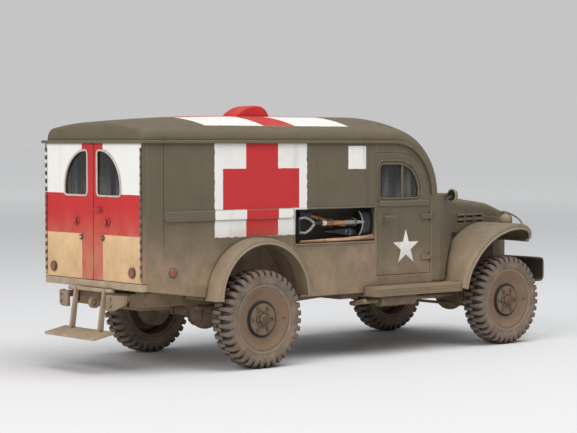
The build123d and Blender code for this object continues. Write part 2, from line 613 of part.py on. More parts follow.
def build_axles():
    pad_top = AXLE_Z + 1.7
    rear = rod((REAR_AXLE_X, -DRUM_Y[0], AXLE_Z), (REAR_AXLE_X, DRUM_Y[0], AXLE_Z), 1.4)
    rear += Pos(REAR_AXLE_X, -2.0, AXLE_Z) * Sphere(4.2)
    rear += rod((REAR_AXLE_X, -2.0, AXLE_Z), (REAR_AXLE_X + 4.6, -2.0, AXLE_Z), 1.3)
    front = rod((FRONT_AXLE_X, -17.4, AXLE_Z), (FRONT_AXLE_X, 17.4, AXLE_Z), 1.4)
    front += Pos(FRONT_AXLE_X, -3.4, AXLE_Z) * Sphere(4.2)
    front += rod((FRONT_AXLE_X, -3.4, AXLE_Z), (FRONT_AXLE_X - 4.6, -3.4, AXLE_Z), 1.3)
    for y in (RAIL_Y, (-RAIL_Y[1], -RAIL_Y[0])):
        rear += block((REAR_AXLE_X - 1.2, REAR_AXLE_X + 1.2), y, (AXLE_Z, pad_top))
        front += block((FRONT_AXLE_X - 1.2, FRONT_AXLE_X + 1.2), y, (AXLE_Z, pad_top))
    hub = rod((REAR_AXLE_X, DRUM_Y[0], AXLE_Z), (REAR_AXLE_X, DRUM_Y[1], AXLE_Z), 5.0)
    hub += rod((REAR_AXLE_X, DRUM_Y[1], AXLE_Z), (REAR_AXLE_X, PIN_END_Y, AXLE_Z), PIN_R)
    for side in pair(hub):
        rear += side
    save("rear_axle", rear)
    save("front_axle", front)

    # Knuckles with drums and pins, joined by the tie rod
    knuckle = block((FRONT_AXLE_X - 1.7, FRONT_AXLE_X + 1.7), (17.4, DRUM_Y[0]), (AXLE_Z - 2.6, AXLE_Z + 2.6))
    knuckle += block((FRONT_AXLE_X - 5.0, FRONT_AXLE_X), (17.6, 18.8), (AXLE_Z - 2.4, AXLE_Z - 1.4))
    knuckle += Pos(WHEELBASE, 0, 0) * hub
    link = rod((FRONT_AXLE_X - 4.4, -18.0, AXLE_Z - 1.9), (FRONT_AXLE_X - 4.4, 18.0, AXLE_Z - 1.9), 0.4)
    sides = pair(knuckle)
    save("steering_knuckles", sides[0] + link + sides[1])

    # Leaf springs: long leaf touching the rail at both ends, shorter leaves below
    springs = []
    for x in (FRONT_AXLE_X, REAR_AXLE_X):
        leaves = []
        for half, drop in ((13.0, 0.0), (9.5, 0.45), (6.0, 0.9)):
            rise = 0.9 * (half / 13.0) ** 2
            top = RAIL_Z[0] - 0.9 - drop
            arc = ThreePointArc((x - half, top + rise), (x, top), (x + half, top + rise))
            base = ThreePointArc((x + half, top + rise - 0.45), (x, top - 0.45), (x - half, top + rise - 0.45))
            ends = [Line(arc @ 1, base @ 0), Line(base @ 1, arc @ 0)]
            leaves.append(make_face([arc, ends[0], base, ends[1]]))
        face = leaves[0] + leaves[1] + leaves[2]
        bottom = RAIL_Z[0] - 0.9 - 1.35
        face += rect((x - 1.2, pad_top), (x + 1.2, bottom + 0.9)) if bottom > pad_top else face
        spring = side_slab(face, RAIL_Y[0], RAIL_Y[1])
        spring -= block((x - 1.2, x + 1.2), RAIL_Y, (0, pad_top))
        springs += pair(spring)
    save("leaf_springs", *springs)


# Wheels: tyre out to the lugs' tips, rim with hub and blind bore
def tyre(x, y, z):
    half = TYRE_WIDTH / 2
    section = [
        (-2.9, RIM_R), (-half, RIM_R + 1.6), (-half, TYRE_R - 1.2), (-2.7, TYRE_R),
        (2.7, TYRE_R), (half, TYRE_R - 1.2), (half, RIM_R + 1.6), (2.9, RIM_R),
    ]
    return spun(section, x, y, z)


def wheel(x, y, z, side):
    bore = PIN_R + PIN_CLEARANCE
    end = PIN_END_Y - WHEEL_Y + PIN_CLEARANCE
    section = [
        (-1.6, bore), (end, bore), (end, 0), (3.0, 0), (3.0, 1.3), (2.25, 1.3), (2.25, 4.0),
        (1.6, 4.7), (2.0, 6.2), (2.7, 7.4), (2.7, RIM_R), (-2.7, RIM_R), (-2.7, RIM_R - 0.8),
        (1.6, RIM_R - 1.0), (0.8, 6.0), (0.6, 3.0), (-1.6, 3.0),
    ]
    return spun([(side * along, radius) for along, radius in section], x, y, z)


WHEEL_PLACES = {
    "front_right": (FRONT_AXLE_X, -1), "front_left": (FRONT_AXLE_X, 1),
    "rear_right": (REAR_AXLE_X, -1), "rear_left": (REAR_AXLE_X, 1),
}


def build_wheels():
    for place, (x, side) in WHEEL_PLACES.items():
        save(f"tyre_{place}", tyre(x, side * WHEEL_Y, AXLE_Z))
        save(f"wheel_{place}", wheel(x, side * WHEEL_Y, AXLE_Z, side))
    save("spare_tyre", tyre(SPARE_X, SPARE_Y, SPARE_Z))
    spare = wheel(SPARE_X, SPARE_Y, SPARE_Z, 1)
    spare += rod((SPARE_X, SPARE_WELL_Y, SPARE_Z), (SPARE_X, SPARE_Y + 1.8, SPARE_Z), PIN_R + PIN_CLEARANCE)
    save("spare_wheel", spare)


# Tools strapped in the locker and round mirrors on the cowl
def build_fittings():
    low, back = RECESS_Z[0], -INNER_HALF + RECESS_DEPTH
    x0, x1 = RECESS_X
    shaft_y = back - 0.6
    shovel = rod((x0 + 4.0, shaft_y, low + 5.4), (x1 - 8.0, shaft_y, low + 5.4), 0.6)
    grip = Pos(x0 + 2.6, low + 5.4) * (Circle(1.7) - Circle(1.0))
    shovel += side_slab(grip, shaft_y - 0.5, shaft_y + 0.6)
    blade = outline((x1 - 8.4, low + 3.6), (x1 - 3.0, low + 3.4), (x1 - 1.4, low + 5.4), (x1 - 3.0, low + 7.4), (x1 - 8.4, low + 7.2))
    shovel += side_slab(blade, shaft_y - 0.3, shaft_y + 0.3)
    axe_y = -INNER_HALF + 1.2
    axe = rod((x0 + 1.5, axe_y, low + 0.7), (x1 - 1.5, axe_y, low + 0.7), 0.7)
    mattock = outline((x0 + 8.0, low + 1.2), (x0 + 15.5, low + 1.9), (x0 + 15.5, low + 2.7), (x0 + 8.0, low + 2.6))
    axe += side_slab(mattock, axe_y - 0.5, axe_y + 0.5)
    axe += rod((x0 + 11.5, axe_y, low + 0.7), (x0 + 11.5, axe_y, low + 2.4), 0.6)
    save("pioneer_tools", shovel, axe)

    centre = Vector(TURN_X + GUTTER_R + 8.8, 20.3, COWL_Z - 0.4)
    disc = rod((centre.X, centre.Y, centre.Z), (centre.X + 0.6, centre.Y, centre.Z), 1.7)
    arm = rod((centre.X + 0.4, centre.Y, centre.Z), (centre.X - 2.4, 17.4, COWL_Z - 2.6), 0.35)
    mirror_piece = disc + arm - level_slab(plan_ring(COWL_PLAN, 0), 0, COWL_Z)
    save("mirrors", *pair(mirror_piece.solids().sort_by(SortBy.VOLUME)[-1]))


build_roof()
build_side_walls()
build_cab_sides()
build_rear()
build_inside()
build_nose()
build_fenders()
build_chassis()
build_axles()
build_wheels()
build_fittings()
save("window_panes", *PANES)
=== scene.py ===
# %% [markdown]
# # A weathered model ambulance
# The object is a small styrene kit of an army ambulance, built, painted and dusted to look as if it had
# driven through mud. The solid pieces come from the frame, already in place and at their real size, in
# metres. Below they get their paint and their small fittings, and a few of them are drawn again with finer
# curves, in the same place. No piece is moved.

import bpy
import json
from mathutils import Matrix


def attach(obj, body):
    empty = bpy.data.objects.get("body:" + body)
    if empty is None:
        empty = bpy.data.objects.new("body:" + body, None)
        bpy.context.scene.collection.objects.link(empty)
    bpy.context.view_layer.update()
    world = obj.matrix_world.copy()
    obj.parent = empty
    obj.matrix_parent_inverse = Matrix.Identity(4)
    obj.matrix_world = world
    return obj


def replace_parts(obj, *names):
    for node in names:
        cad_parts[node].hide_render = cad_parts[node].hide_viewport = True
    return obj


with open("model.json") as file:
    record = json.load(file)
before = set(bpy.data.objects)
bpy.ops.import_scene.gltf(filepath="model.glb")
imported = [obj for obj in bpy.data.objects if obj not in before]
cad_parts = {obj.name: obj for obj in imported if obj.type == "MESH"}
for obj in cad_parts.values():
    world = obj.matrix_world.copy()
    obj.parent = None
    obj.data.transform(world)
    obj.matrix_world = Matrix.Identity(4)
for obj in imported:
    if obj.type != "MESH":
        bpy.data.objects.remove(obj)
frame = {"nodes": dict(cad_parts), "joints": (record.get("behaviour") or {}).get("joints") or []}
print("frame with", len(frame["nodes"]), "pieces")

# %% Names used everywhere
import json
import math

import bmesh
import bpy
from mathutils import Matrix, Vector

NODES = frame["nodes"]
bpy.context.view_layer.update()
MM = 0.001
BODY = "truck_body"
WHEELS = {joint["child"]: Vector(joint["pos_m"]) for joint in frame["joints"]}

# %% [markdown]
# ## The camera
# The photograph was taken with a long lens close to the height of the rain gutter, looking at the rear
# right corner. A long lens keeps the truck's lines almost parallel. We store where the camera stands and
# which way it looks, and build its rotation from the view direction, which is easier to read than angles.

# %% Camera at the photograph's view
LENS = 113.05
CAMERA_AT = Vector((-317.26, -373.14, 55.54)) * MM
CAMERA_YAW = math.radians(39.99)
CAMERA_PITCH = math.radians(-2.27)


def look_direction(yaw, pitch):
    level = math.cos(pitch)
    return Vector((math.sin(yaw) * level, math.cos(yaw) * level, math.sin(pitch)))


camera_data = bpy.data.cameras.new("photo_view")
camera_data.lens = LENS
camera_data.sensor_width = 36.0
camera_data.clip_start = 0.01
camera = bpy.data.objects.new("photo_view", camera_data)
bpy.context.scene.collection.objects.link(camera)
camera.location = CAMERA_AT
camera.rotation_euler = look_direction(CAMERA_YAW, CAMERA_PITCH).to_track_quat("-Z", "Y").to_euler()
bpy.context.scene.camera = camera
print("camera looks along", tuple(round(v, 3) for v in look_direction(CAMERA_YAW, CAMERA_PITCH)))

# %% [markdown]
# ## Shader helpers
# A shader is a graph of small nodes. Writing each link by hand is slow to read, so these helpers take
# either a number or another node's output, and put or link it as needed.


# %% Helpers that place and link nodes
def srgb(red, green, blue):
    def linear(value):
        value /= 255
        return value / 12.92 if value <= 0.04045 else ((value + 0.055) / 1.055) ** 2.4

    return (linear(red), linear(green), linear(blue), 1.0)


def feed(tree, socket, value):
    if isinstance(value, bpy.types.NodeSocket):
        tree.links.new(value, socket)
    else:
        socket.default_value = value


def maths(tree, operation, *values):
    node = tree.nodes.new("ShaderNodeMath")
    node.operation = operation
    for socket, value in zip(node.inputs, values):
        feed(tree, socket, value)
    return node.outputs[0]


def blend(tree, amount, under, over):
    node = tree.nodes.new("ShaderNodeMix")
    node.data_type = "RGBA"
    feed(tree, node.inputs[0], amount)
    feed(tree, node.inputs[6], under)
    feed(tree, node.inputs[7], over)
    return node.outputs[2]


def ease(tree, value, low, high):
    node = tree.nodes.new("ShaderNodeMapRange")
    node.interpolation_type = "SMOOTHSTEP"
    feed(tree, node.inputs["Value"], value)
    feed(tree, node.inputs["From Min"], low)
    feed(tree, node.inputs["From Max"], high)
    return node.outputs[0]


def noise(tree, vector, scale, detail=3.0):
    node = tree.nodes.new("ShaderNodeTexNoise")
    feed(tree, node.inputs["Vector"], vector)
    feed(tree, node.inputs["Scale"], scale)
    node.inputs["Detail"].default_value = detail
    return node.outputs["Fac"]


def stretched(tree, vector, sizes):
    node = tree.nodes.new("ShaderNodeMapping")
    feed(tree, node.inputs["Vector"], vector)
    node.inputs["Scale"].default_value = sizes
    return node.outputs["Vector"]


def split(tree, vector):
    node = tree.nodes.new("ShaderNodeSeparateXYZ")
    feed(tree, node.inputs[0], vector)
    return node.outputs


def object_place(tree):
    return tree.nodes.new("ShaderNodeTexCoord").outputs["Object"]


def new_group(name, inputs, outputs):
    group = bpy.data.node_groups.new(name, "ShaderNodeTree")
    for title, kind, value in inputs:
        socket = group.interface.new_socket(title, in_out="INPUT", socket_type=kind)
        socket.default_value = value
    for title, kind in outputs:
        group.interface.new_socket(title, in_out="OUTPUT", socket_type=kind)
    return group, group.nodes.new("NodeGroupInput").outputs, group.nodes.new("NodeGroupOutput").inputs


def use_group(tree, group, **values):
    node = tree.nodes.new("ShaderNodeGroup")
    node.node_tree = group
    for title, value in values.items():
        feed(tree, node.inputs[title.replace("_", " ")], value)
    return node.outputs


print("shader helpers ready")

# %% [markdown]
# ## Effects that many finishes share
# A modeller weathers a kit in layers: mottled paint first, then a dark wash that settles in the corners,
# rain streaks, rubbed and chipped edges, and dust last. The wash here follows ambient occlusion, so it is
# partly painted shade, and the lightened edges are partly dry-brushed paint and partly painted highlight.
# Each layer is one node group here, so that every paint can place it with its own values. The groups read
# the object's own coordinates, which travel with a piece when a wheel turns.

# %% Mottled paint
VALUE, COLOUR, DIRECTION = "NodeSocketFloat", "NodeSocketColor", "NodeSocketVector"


def build_mottle():
    group, given, out = new_group(
        "mottled_paint",
        [("Colour", COLOUR, (0.5, 0.5, 0.5, 1)), ("Contrast", VALUE, 0.35), ("Size", VALUE, 160.0)],
        [("Colour", COLOUR), ("Grain", VALUE)],
    )
    place = object_place(group)
    cloud = noise(group, place, given["Size"], 5.0)
    grain = noise(group, place, 4200.0, 2.0)
    shade = maths(group, "MULTIPLY", maths(group, "SUBTRACT", cloud, 0.5), given["Contrast"])
    shade = maths(group, "ADD", shade, maths(group, "MULTIPLY", maths(group, "SUBTRACT", grain, 0.5), 0.16))
    tone = group.nodes.new("ShaderNodeHueSaturation")
    feed(group, tone.inputs["Color"], given["Colour"])
    feed(group, tone.inputs["Value"], maths(group, "ADD", shade, 1.0))
    feed(group, out["Colour"], tone.outputs[0])
    feed(group, out["Grain"], grain)
    return group


MOTTLE = build_mottle()
print("effect", MOTTLE.name)


# %% Rubbed edges with painted highlight, chips and soft corners
def build_edge_wear_and_highlight():
    group, given, out = new_group(
        "edge_wear",
        [("Width", VALUE, 0.00042), ("Amount", VALUE, 0.5)],
        [("Edge", VALUE), ("Chips", VALUE), ("Soft normal", DIRECTION)],
    )
    place = object_place(group)
    rounded = group.nodes.new("ShaderNodeBevel")
    rounded.samples = 4
    feed(group, rounded.inputs["Radius"], given["Width"])
    true_normal = group.nodes.new("ShaderNodeNewGeometry").outputs["Normal"]
    meet = group.nodes.new("ShaderNodeVectorMath")
    meet.operation = "DOT_PRODUCT"
    feed(group, meet.inputs[0], rounded.outputs[0])
    feed(group, meet.inputs[1], true_normal)
    # This edge mask lightens edges in the paints: partly dry-brushed paint, partly painted highlight
    edge = ease(group, maths(group, "SUBTRACT", 1.0, meet.outputs["Value"]), 0.02, 0.22)
    patch = noise(group, place, 900.0, 4.0)
    limit = maths(group, "SUBTRACT", 0.78, maths(group, "MULTIPLY", given["Amount"], 0.3))
    rubbed = maths(group, "MULTIPLY", edge, ease(group, patch, limit, maths(group, "ADD", limit, 0.06)))
    least = maths(group, "SUBTRACT", 0.86, maths(group, "MULTIPLY", given["Amount"], 0.16))
    flecks = ease(group, noise(group, place, 1300.0, 3.0), least, maths(group, "ADD", least, 0.02))
    feed(group, out["Edge"], edge)
    feed(group, out["Chips"], maths(group, "MAXIMUM", rubbed, flecks))
    feed(group, out["Soft normal"], rounded.outputs[0])
    return group


EDGE_WEAR_AND_HIGHLIGHT = build_edge_wear_and_highlight()
print("effect", EDGE_WEAR_AND_HIGHLIGHT.name)


# %% Dark wash and painted shade in the corners, rain streaks and road dust
def build_wash_and_shade():
    group, given, out = new_group("corner_wash", [("Reach", VALUE, 0.0011)], [("Mask", VALUE)])
    # Ambient occlusion darkens sheltered corners and gaps: partly the kit's dark wash, partly painted shade
    shelter = group.nodes.new("ShaderNodeAmbientOcclusion")
    shelter.samples = 6
    feed(group, shelter.inputs["Distance"], given["Reach"])
    feed(group, out["Mask"], ease(group, shelter.outputs["AO"], 0.82, 0.35))
    return group


def build_streaks():
    group, given, out = new_group("rain_streaks", [("Amount", VALUE, 0.4)], [("Mask", VALUE)])
    place = object_place(group)
    fine = noise(group, stretched(group, place, (700.0, 700.0, 30.0)), 1.0, 3.0)
    broad = noise(group, stretched(group, place, (150.0, 150.0, 14.0)), 1.0, 2.0)
    run = maths(group, "MULTIPLY", ease(group, fine, 0.5, 0.72), ease(group, broad, 0.42, 0.7))
    feed(group, out["Mask"], maths(group, "MULTIPLY", run, given["Amount"]))
    return group


def build_dust():
    group, given, out = new_group(
        "road_dust",
        [("Top", VALUE, 0.03), ("Fade", VALUE, 0.02), ("Amount", VALUE, 0.6), ("Ledges", VALUE, 0.5)],
        [("Mask", VALUE)],
    )
    place = object_place(group)
    splash = noise(group, stretched(group, place, (220.0, 220.0, 60.0)), 1.0, 4.0)
    height = maths(group, "ADD", split(group, place)["Z"], maths(group, "MULTIPLY", splash, -0.006))
    low = ease(group, height, given["Top"], maths(group, "SUBTRACT", given["Top"], given["Fade"]))
    patch = ease(group, noise(group, place, 260.0, 6.0), 0.25, 0.75)
    low = maths(group, "MULTIPLY", low, maths(group, "ADD", 0.45, maths(group, "MULTIPLY", patch, 0.55)))
    facing = split(group, group.nodes.new("ShaderNodeNewGeometry").outputs["Normal"])["Z"]
    ledge = maths(group, "MULTIPLY", ease(group, facing, 0.45, 1.0), given["Ledges"])
    ledge = maths(group, "MULTIPLY", ledge, ease(group, noise(group, place, 420.0, 5.0), 0.3, 0.7))
    feed(group, out["Mask"], maths(group, "MAXIMUM", maths(group, "MULTIPLY", low, given["Amount"]), ledge))
    return group


WASH_AND_SHADE, STREAKS, DUST = build_wash_and_shade(), build_streaks(), build_dust()
print("effects", WASH_AND_SHADE.name, STREAKS.name, DUST.name)

# %% [markdown]
# ## Painted markings
# The crosses, the white fields and the star are paint, not separate plates, so they belong in the paint's
# own shader. A mark is a mask over two coordinates in metres: a box, or a five-point star. A little noise
# on the coordinates gives a box the slightly ragged edge of brushed paint.


# %% Masks for a box and a star
def build_box_mask():
    group, given, out = new_group(
        "painted_box",
        [("Across", VALUE, 0.0), ("Up", VALUE, 0.0), ("Mid across", VALUE, 0.0), ("Mid up", VALUE, 0.0),
         ("Half across", VALUE, 0.01), ("Half up", VALUE, 0.01), ("Ragged", VALUE, 0.0)],
        [("Mask", VALUE)],
    )
    sway = maths(group, "SUBTRACT", noise(group, object_place(group), 700.0, 4.0), 0.5)
    sway = maths(group, "MULTIPLY", sway, given["Ragged"])
    inside = []
    for axis in ("across", "up"):
        off = maths(group, "SUBTRACT", given[axis.capitalize()], given[f"Mid {axis}"])
        room = maths(group, "SUBTRACT", given[f"Half {axis}"], maths(group, "ABSOLUTE", off))
        inside.append(ease(group, maths(group, "ADD", room, sway), -0.00006, 0.00006))
    feed(group, out["Mask"], maths(group, "MULTIPLY", *inside))
    return group


def build_star_mask():
    group, given, out = new_group(
        "painted_star",
        [("Across", VALUE, 0.0), ("Up", VALUE, 0.0), ("Radius", VALUE, 0.005)],
        [("Mask", VALUE)],
    )
    fifth, waist = math.pi / 5, 0.382
    squares = [maths(group, "POWER", given[title], 2.0) for title in ("Across", "Up")]
    reach = maths(group, "SQRT", maths(group, "ADD", *squares))
    turn = maths(group, "ARCTAN2", given["Across"], given["Up"])
    fold = maths(group, "FLOORED_MODULO", maths(group, "ADD", turn, fifth), 2 * fifth)
    fold = maths(group, "ABSOLUTE", maths(group, "SUBTRACT", fold, fifth))
    along = maths(group, "MULTIPLY", reach, maths(group, "COSINE", fold))
    along = maths(group, "SUBTRACT", along, given["Radius"])
    aside = maths(group, "MULTIPLY", reach, maths(group, "SINE", fold))
    slope_x, slope_y = waist * math.cos(fifth) - 1, waist * math.sin(fifth)
    length = math.hypot(slope_x, slope_y)
    depth = maths(group, "SUBTRACT", maths(group, "MULTIPLY", aside, slope_x / length),
                  maths(group, "MULTIPLY", along, slope_y / length))
    feed(group, out["Mask"], ease(group, depth, -0.00006, 0.00006))
    return group


BOX_MASK, STAR_MASK = build_box_mask(), build_star_mask()
print("masks", BOX_MASK.name, STAR_MASK.name)

# %% [markdown]
# ## The paints
# One function builds it. The Principled shader stays in the material.

# %% Colours and the paint recipe
OLIVE = srgb(101, 91, 72)
WHITE = srgb(236, 234, 228)
RED = srgb(196, 42, 44)
RIM = srgb(114, 90, 72)
TAN_DUST = srgb(160, 136, 110)
WARM_DUST = srgb(190, 148, 114)
CREAM = srgb(230, 196, 146)
# Pale tone for lightened edges: dry-brushed paint and painted highlight
DRYBRUSH_AND_HIGHLIGHT = srgb(168, 156, 132)
DARK_CHIP = srgb(54, 47, 40)
# Dark for grime streaks, and for the painted shade of the corner wash
GRIME_AND_SHADE = srgb(52, 45, 35)


def new_material(name):
    material = bpy.data.materials.new(name)
    material.use_nodes = True
    tree = material.node_tree
    return material, tree, tree.nodes["Principled BSDF"]


def matt_paint(
    name, colour, marks=(), dust_top=30.0, dust_fade=18.0, dust=0.6, dust_colour=TAN_DUST,
    ledges=0.45, wear=0.5, streaks=0.35, wash=0.8, edge=0.6, rough=0.72,
):
    material, tree, shader = new_material(name)
    paint = use_group(tree, MOTTLE, Colour=colour)
    weathering_and_light = use_group(tree, EDGE_WEAR_AND_HIGHLIGHT, Amount=wear)
    corners = use_group(tree, WASH_AND_SHADE)
    rain = use_group(tree, STREAKS, Amount=streaks)
    dusty = use_group(tree, DUST, Top=dust_top * MM, Fade=dust_fade * MM, Amount=dust, Ledges=ledges)
    place = split(tree, object_place(tree))
    base = paint["Colour"]
    for mark in marks:
        base = mark(tree, place, base)
    base = blend(tree, rain["Mask"], base, GRIME_AND_SHADE)
    # Edges lightened: partly dry-brushed paint, partly painted highlight
    base = blend(tree, maths(tree, "MULTIPLY", weathering_and_light["Edge"], edge), base, DRYBRUSH_AND_HIGHLIGHT)
    base = blend(tree, weathering_and_light["Chips"], base, DARK_CHIP)
    base = blend(tree, dusty["Mask"], base, dust_colour)
    # Corner wash from ambient occlusion: partly dark wash, partly painted shade
    base = blend(tree, maths(tree, "MULTIPLY", corners["Mask"], wash), base, GRIME_AND_SHADE)
    feed(tree, shader.inputs["Base Color"], base)
    shine = maths(tree, "MULTIPLY", paint["Grain"], 0.25)
    feed(tree, shader.inputs["Roughness"], maths(tree, "ADD", shine, rough - 0.1))
    bump = tree.nodes.new("ShaderNodeBump")
    bump.inputs["Strength"].default_value = 0.25
    bump.inputs["Distance"].default_value = 0.00008
    height = maths(tree, "SUBTRACT", paint["Grain"], maths(tree, "MULTIPLY", weathering_and_light["Chips"], 1.4))
    feed(tree, bump.inputs["Height"], height)
    feed(tree, bump.inputs["Normal"], weathering_and_light["Soft normal"])
    feed(tree, shader.inputs["Normal"], bump.outputs[0])
    return material


def paint_nodes(material, *names):
    for name in names:
        NODES[name].data.materials.clear()
        NODES[name].data.materials.append(material)


olive = matt_paint("olive_drab", OLIVE)
fender_paint = matt_paint("fender_olive", srgb(114, 104, 84), dust_top=36.0, dust_fade=18.0, dust=0.8)
dusty_olive = matt_paint("dusty_olive", srgb(116, 102, 80), dust_top=44.0, dust=0.85, ledges=0.75)
step_paint = matt_paint(
    "step_dust", srgb(138, 120, 97), dust_top=44.0, dust=0.9, ledges=0.9, dust_colour=srgb(186, 162, 136),
)
dark_channel = matt_paint("channel_dark", srgb(52, 47, 39), dust_top=30.0, dust=0.15, ledges=0.5, edge=0.9)
chassis = matt_paint("chassis_olive", srgb(92, 80, 63), dust_top=40.0, dust=0.8)
cabin = matt_paint("cabin_olive", srgb(88, 82, 65), dust=0.1, ledges=0.2)
print("paints", olive.name, dusty_olive.name, chassis.name, cabin.name)

# %% [markdown]
# ## Markings by place
# On each side a white field carries a red cross; the roof and the rear doors repeat it. A star sits on each
# cab door and a bare white sign beside it. All measures are millimetres along the truck, across it or up,
# in the frame's own axes. Thin dark boxes draw the seams between the body's sheets. One dark box paints
# shadow on the bonnet's side inside the front wheel arch.


# %% Boxes and stars of paint from small tables
def painted_boxes(across, up, boxes, colour, ragged=0.25, contrast=0.2):
    # Each box: low across, high across, low up, high up, in millimetres
    def mark(tree, place, under):
        total = 0.0
        for left, right, low, high in boxes:
            mask = use_group(
                tree, BOX_MASK, Across=place[across], Up=place[up],
                Mid_across=(left + right) / 2 * MM, Mid_up=(low + high) / 2 * MM,
                Half_across=(right - left) / 2 * MM, Half_up=(high - low) / 2 * MM, Ragged=ragged * MM,
            )["Mask"]
            total = maths(tree, "MAXIMUM", total, mask)
        tone = use_group(tree, MOTTLE, Colour=colour, Contrast=contrast)["Colour"]
        return blend(tree, total, under, tone)

    return mark


def painted_star(across, up, middle, radius, colour):
    def mark(tree, place, under):
        off = [maths(tree, "SUBTRACT", place[axis], value * MM) for axis, value in zip((across, up), middle)]
        mask = use_group(tree, STAR_MASK, Across=off[0], Up=off[1], Radius=radius * MM)["Mask"]
        tone = use_group(tree, MOTTLE, Colour=colour, Contrast=0.2)["Colour"]
        return blend(tree, mask, under, tone)

    return mark


print("mark makers", painted_boxes.__name__, painted_star.__name__)

# %% Where each mark lies
SEAM = srgb(44, 39, 31)
SIDE_WHITE = [(-45.8, -16.0, 32.7, 56.2)]
SIDE_RED = [(-35.9, -25.6, 32.7, 56.2), (-43.2, -18.6, 39.5, 49.6)]
SIGN_WHITE = [(-1.8, 4.4, 49.2, 55.2)]
WALL_SEAMS = [(-61.32, -61.14, 20.0, 56.2)]
side_marks = [
    painted_boxes("X", "Z", SIDE_WHITE, WHITE, ragged=0.9), painted_boxes("X", "Z", SIDE_RED, RED),
    painted_boxes("X", "Z", SIGN_WHITE, WHITE), painted_boxes("X", "Z", WALL_SEAMS, SEAM, ragged=0.05),
]
ROOF_WHITE = [(-46.0, 1.0, 60.3, 70.0)]
ROOF_RED_ACROSS = [(-27.6, -17.2, 60.3, 70.0)]
ROOF_RED_ALONG = [(-46.0, 1.0, -5.0, 5.0)]
roof_marks = [
    painted_boxes("X", "Z", ROOF_WHITE, WHITE), painted_boxes("X", "Z", ROOF_RED_ACROSS, RED),
    painted_boxes("X", "Y", ROOF_RED_ALONG, RED),
]
REAR_WHITE = [(-20.75, 20.75, 33.5, 56.2)]
REAR_CREAM = [(-20.75, 20.75, 22.2, 33.5)]
REAR_RED = [(-4.6, 4.6, 22.2, 56.2), (-20.75, 20.75, 33.5, 43.5)]
rear_marks = [
    painted_boxes("Y", "Z", REAR_WHITE, WHITE, contrast=0.1),
    painted_boxes("Y", "Z", REAR_CREAM, CREAM, contrast=0.45), painted_boxes("Y", "Z", REAR_RED, RED),
]
# A dark box paints shadow on the bonnet's side inside the front wheel arch, under the fender
ARCH_SHADE = [(36.0, 64.0, 10.0, 31.0)]
arch_shadow_marks = [painted_boxes("X", "Z", ARCH_SHADE, srgb(38, 34, 28), ragged=0.5)]
door_marks = [painted_star("X", "Z", (18.9, 28.0), 4.9, WHITE)]
print("marks", len(side_marks), len(roof_marks), len(rear_marks), len(door_marks))

# %% [markdown]
# ## Which paint goes where
# A modeller sprays the whole kit olive first, then masks and brushes what differs. The same order is short to
# write: every piece gets the olive paint, and then a few lists name the pieces that get another one.

# %% Paint the solid pieces
wall_paint = matt_paint("wall_paint", OLIVE, side_marks, dust_top=35.0, dust_fade=15.0, dust=0.95)
roof_paint = matt_paint("roof_paint", OLIVE, roof_marks, dust=0.0, ledges=0.12, streaks=0.15)
rear_paint = matt_paint(
    "rear_door_paint", OLIVE, rear_marks, dust_top=38.0, dust_fade=16.0, dust=0.72, dust_colour=WARM_DUST,
    streaks=0.12, edge=0.15,
)
door_paint = matt_paint("cab_door_paint", OLIVE, door_marks, dust_top=30.0, dust_fade=14.0, dust=0.75)
vent_paint = matt_paint("ventilator_red", RED, dust=0.0, ledges=0.2, streaks=0.1)
nose_paint = matt_paint("nose_paint", OLIVE, arch_shadow_marks, dust_top=30.0, dust_fade=14.0, dust=0.15)
paint_nodes(olive, *NODES)
paint_nodes(nose_paint, "bonnet_sides")
paint_nodes(wall_paint, "side_wall_right", "side_wall_left")
paint_nodes(roof_paint, "roof")
paint_nodes(rear_paint, "rear_door_left", "rear_door_right")
paint_nodes(door_paint, "cab_door_left", "cab_door_right", "cab_door_frames")
paint_nodes(vent_paint, "roof_ventilator")
paint_nodes(fender_paint, "front_fenders", "rear_fenders")
paint_nodes(dusty_olive, "running_boards", "rear_bumpers", "tow_fittings")
paint_nodes(step_paint, "rear_step", "rear_sill")
paint_nodes(dark_channel, "front_bumper")
CHASSIS_NODES = [
    "frame_rails", "frame_crossmembers", "front_axle", "rear_axle", "steering_knuckles", "leaf_springs",
    "propeller_shafts", "transfer_case", "engine_block", "radiator", "exhaust", "fuel_tank",
]
paint_nodes(chassis, *CHASSIS_NODES)
paint_nodes(cabin, "seats", "dashboard", "steering_wheel", "partition", "stretcher_benches", "floor")
print("marked", wall_paint.name, roof_paint.name, rear_paint.name, door_paint.name)

# %% [markdown]
# ## Glass and wheel paint
# The panes get a dark base colour as painted shade for the dim inside behind them, and a dust film that
# grows towards the bottom. The wheels carry a rusty tan.


# %% Panes with painted shade, and rusty wheels
def smoky_pane(name):
    material, tree, shader = new_material(name)
    shader.inputs["Transmission Weight"].default_value = 0.55
    shader.inputs["IOR"].default_value = 1.45
    place = object_place(tree)
    run = noise(tree, stretched(tree, place, (420.0, 420.0, 40.0)), 1.0, 4.0)
    low = ease(tree, split(tree, place)["Z"], 0.051, 0.0415)
    film = maths(tree, "MULTIPLY", ease(tree, run, 0.3, 0.75), maths(tree, "ADD", 0.25, low))
    # Dark base: painted shade of the inside; the paler film is dust, stronger low down
    feed(tree, shader.inputs["Base Color"], blend(tree, film, srgb(30, 32, 34), srgb(128, 124, 118)))
    feed(tree, shader.inputs["Roughness"], maths(tree, "ADD", maths(tree, "MULTIPLY", film, 0.4), 0.06))
    return material


pane = smoky_pane("smoky_pane")
paint_nodes(pane, "window_panes")
rim_paint = matt_paint(
    "rusty_rim", RIM, dust_top=60.0, dust=0.3, ledges=0.0, wear=0.7, streaks=0.0, rough=0.8,
)
paint_nodes(rim_paint, *[name for name in NODES if name.startswith("wheel_") or name == "spare_wheel"])
print("glass", pane.name, "wheels", rim_paint.name)

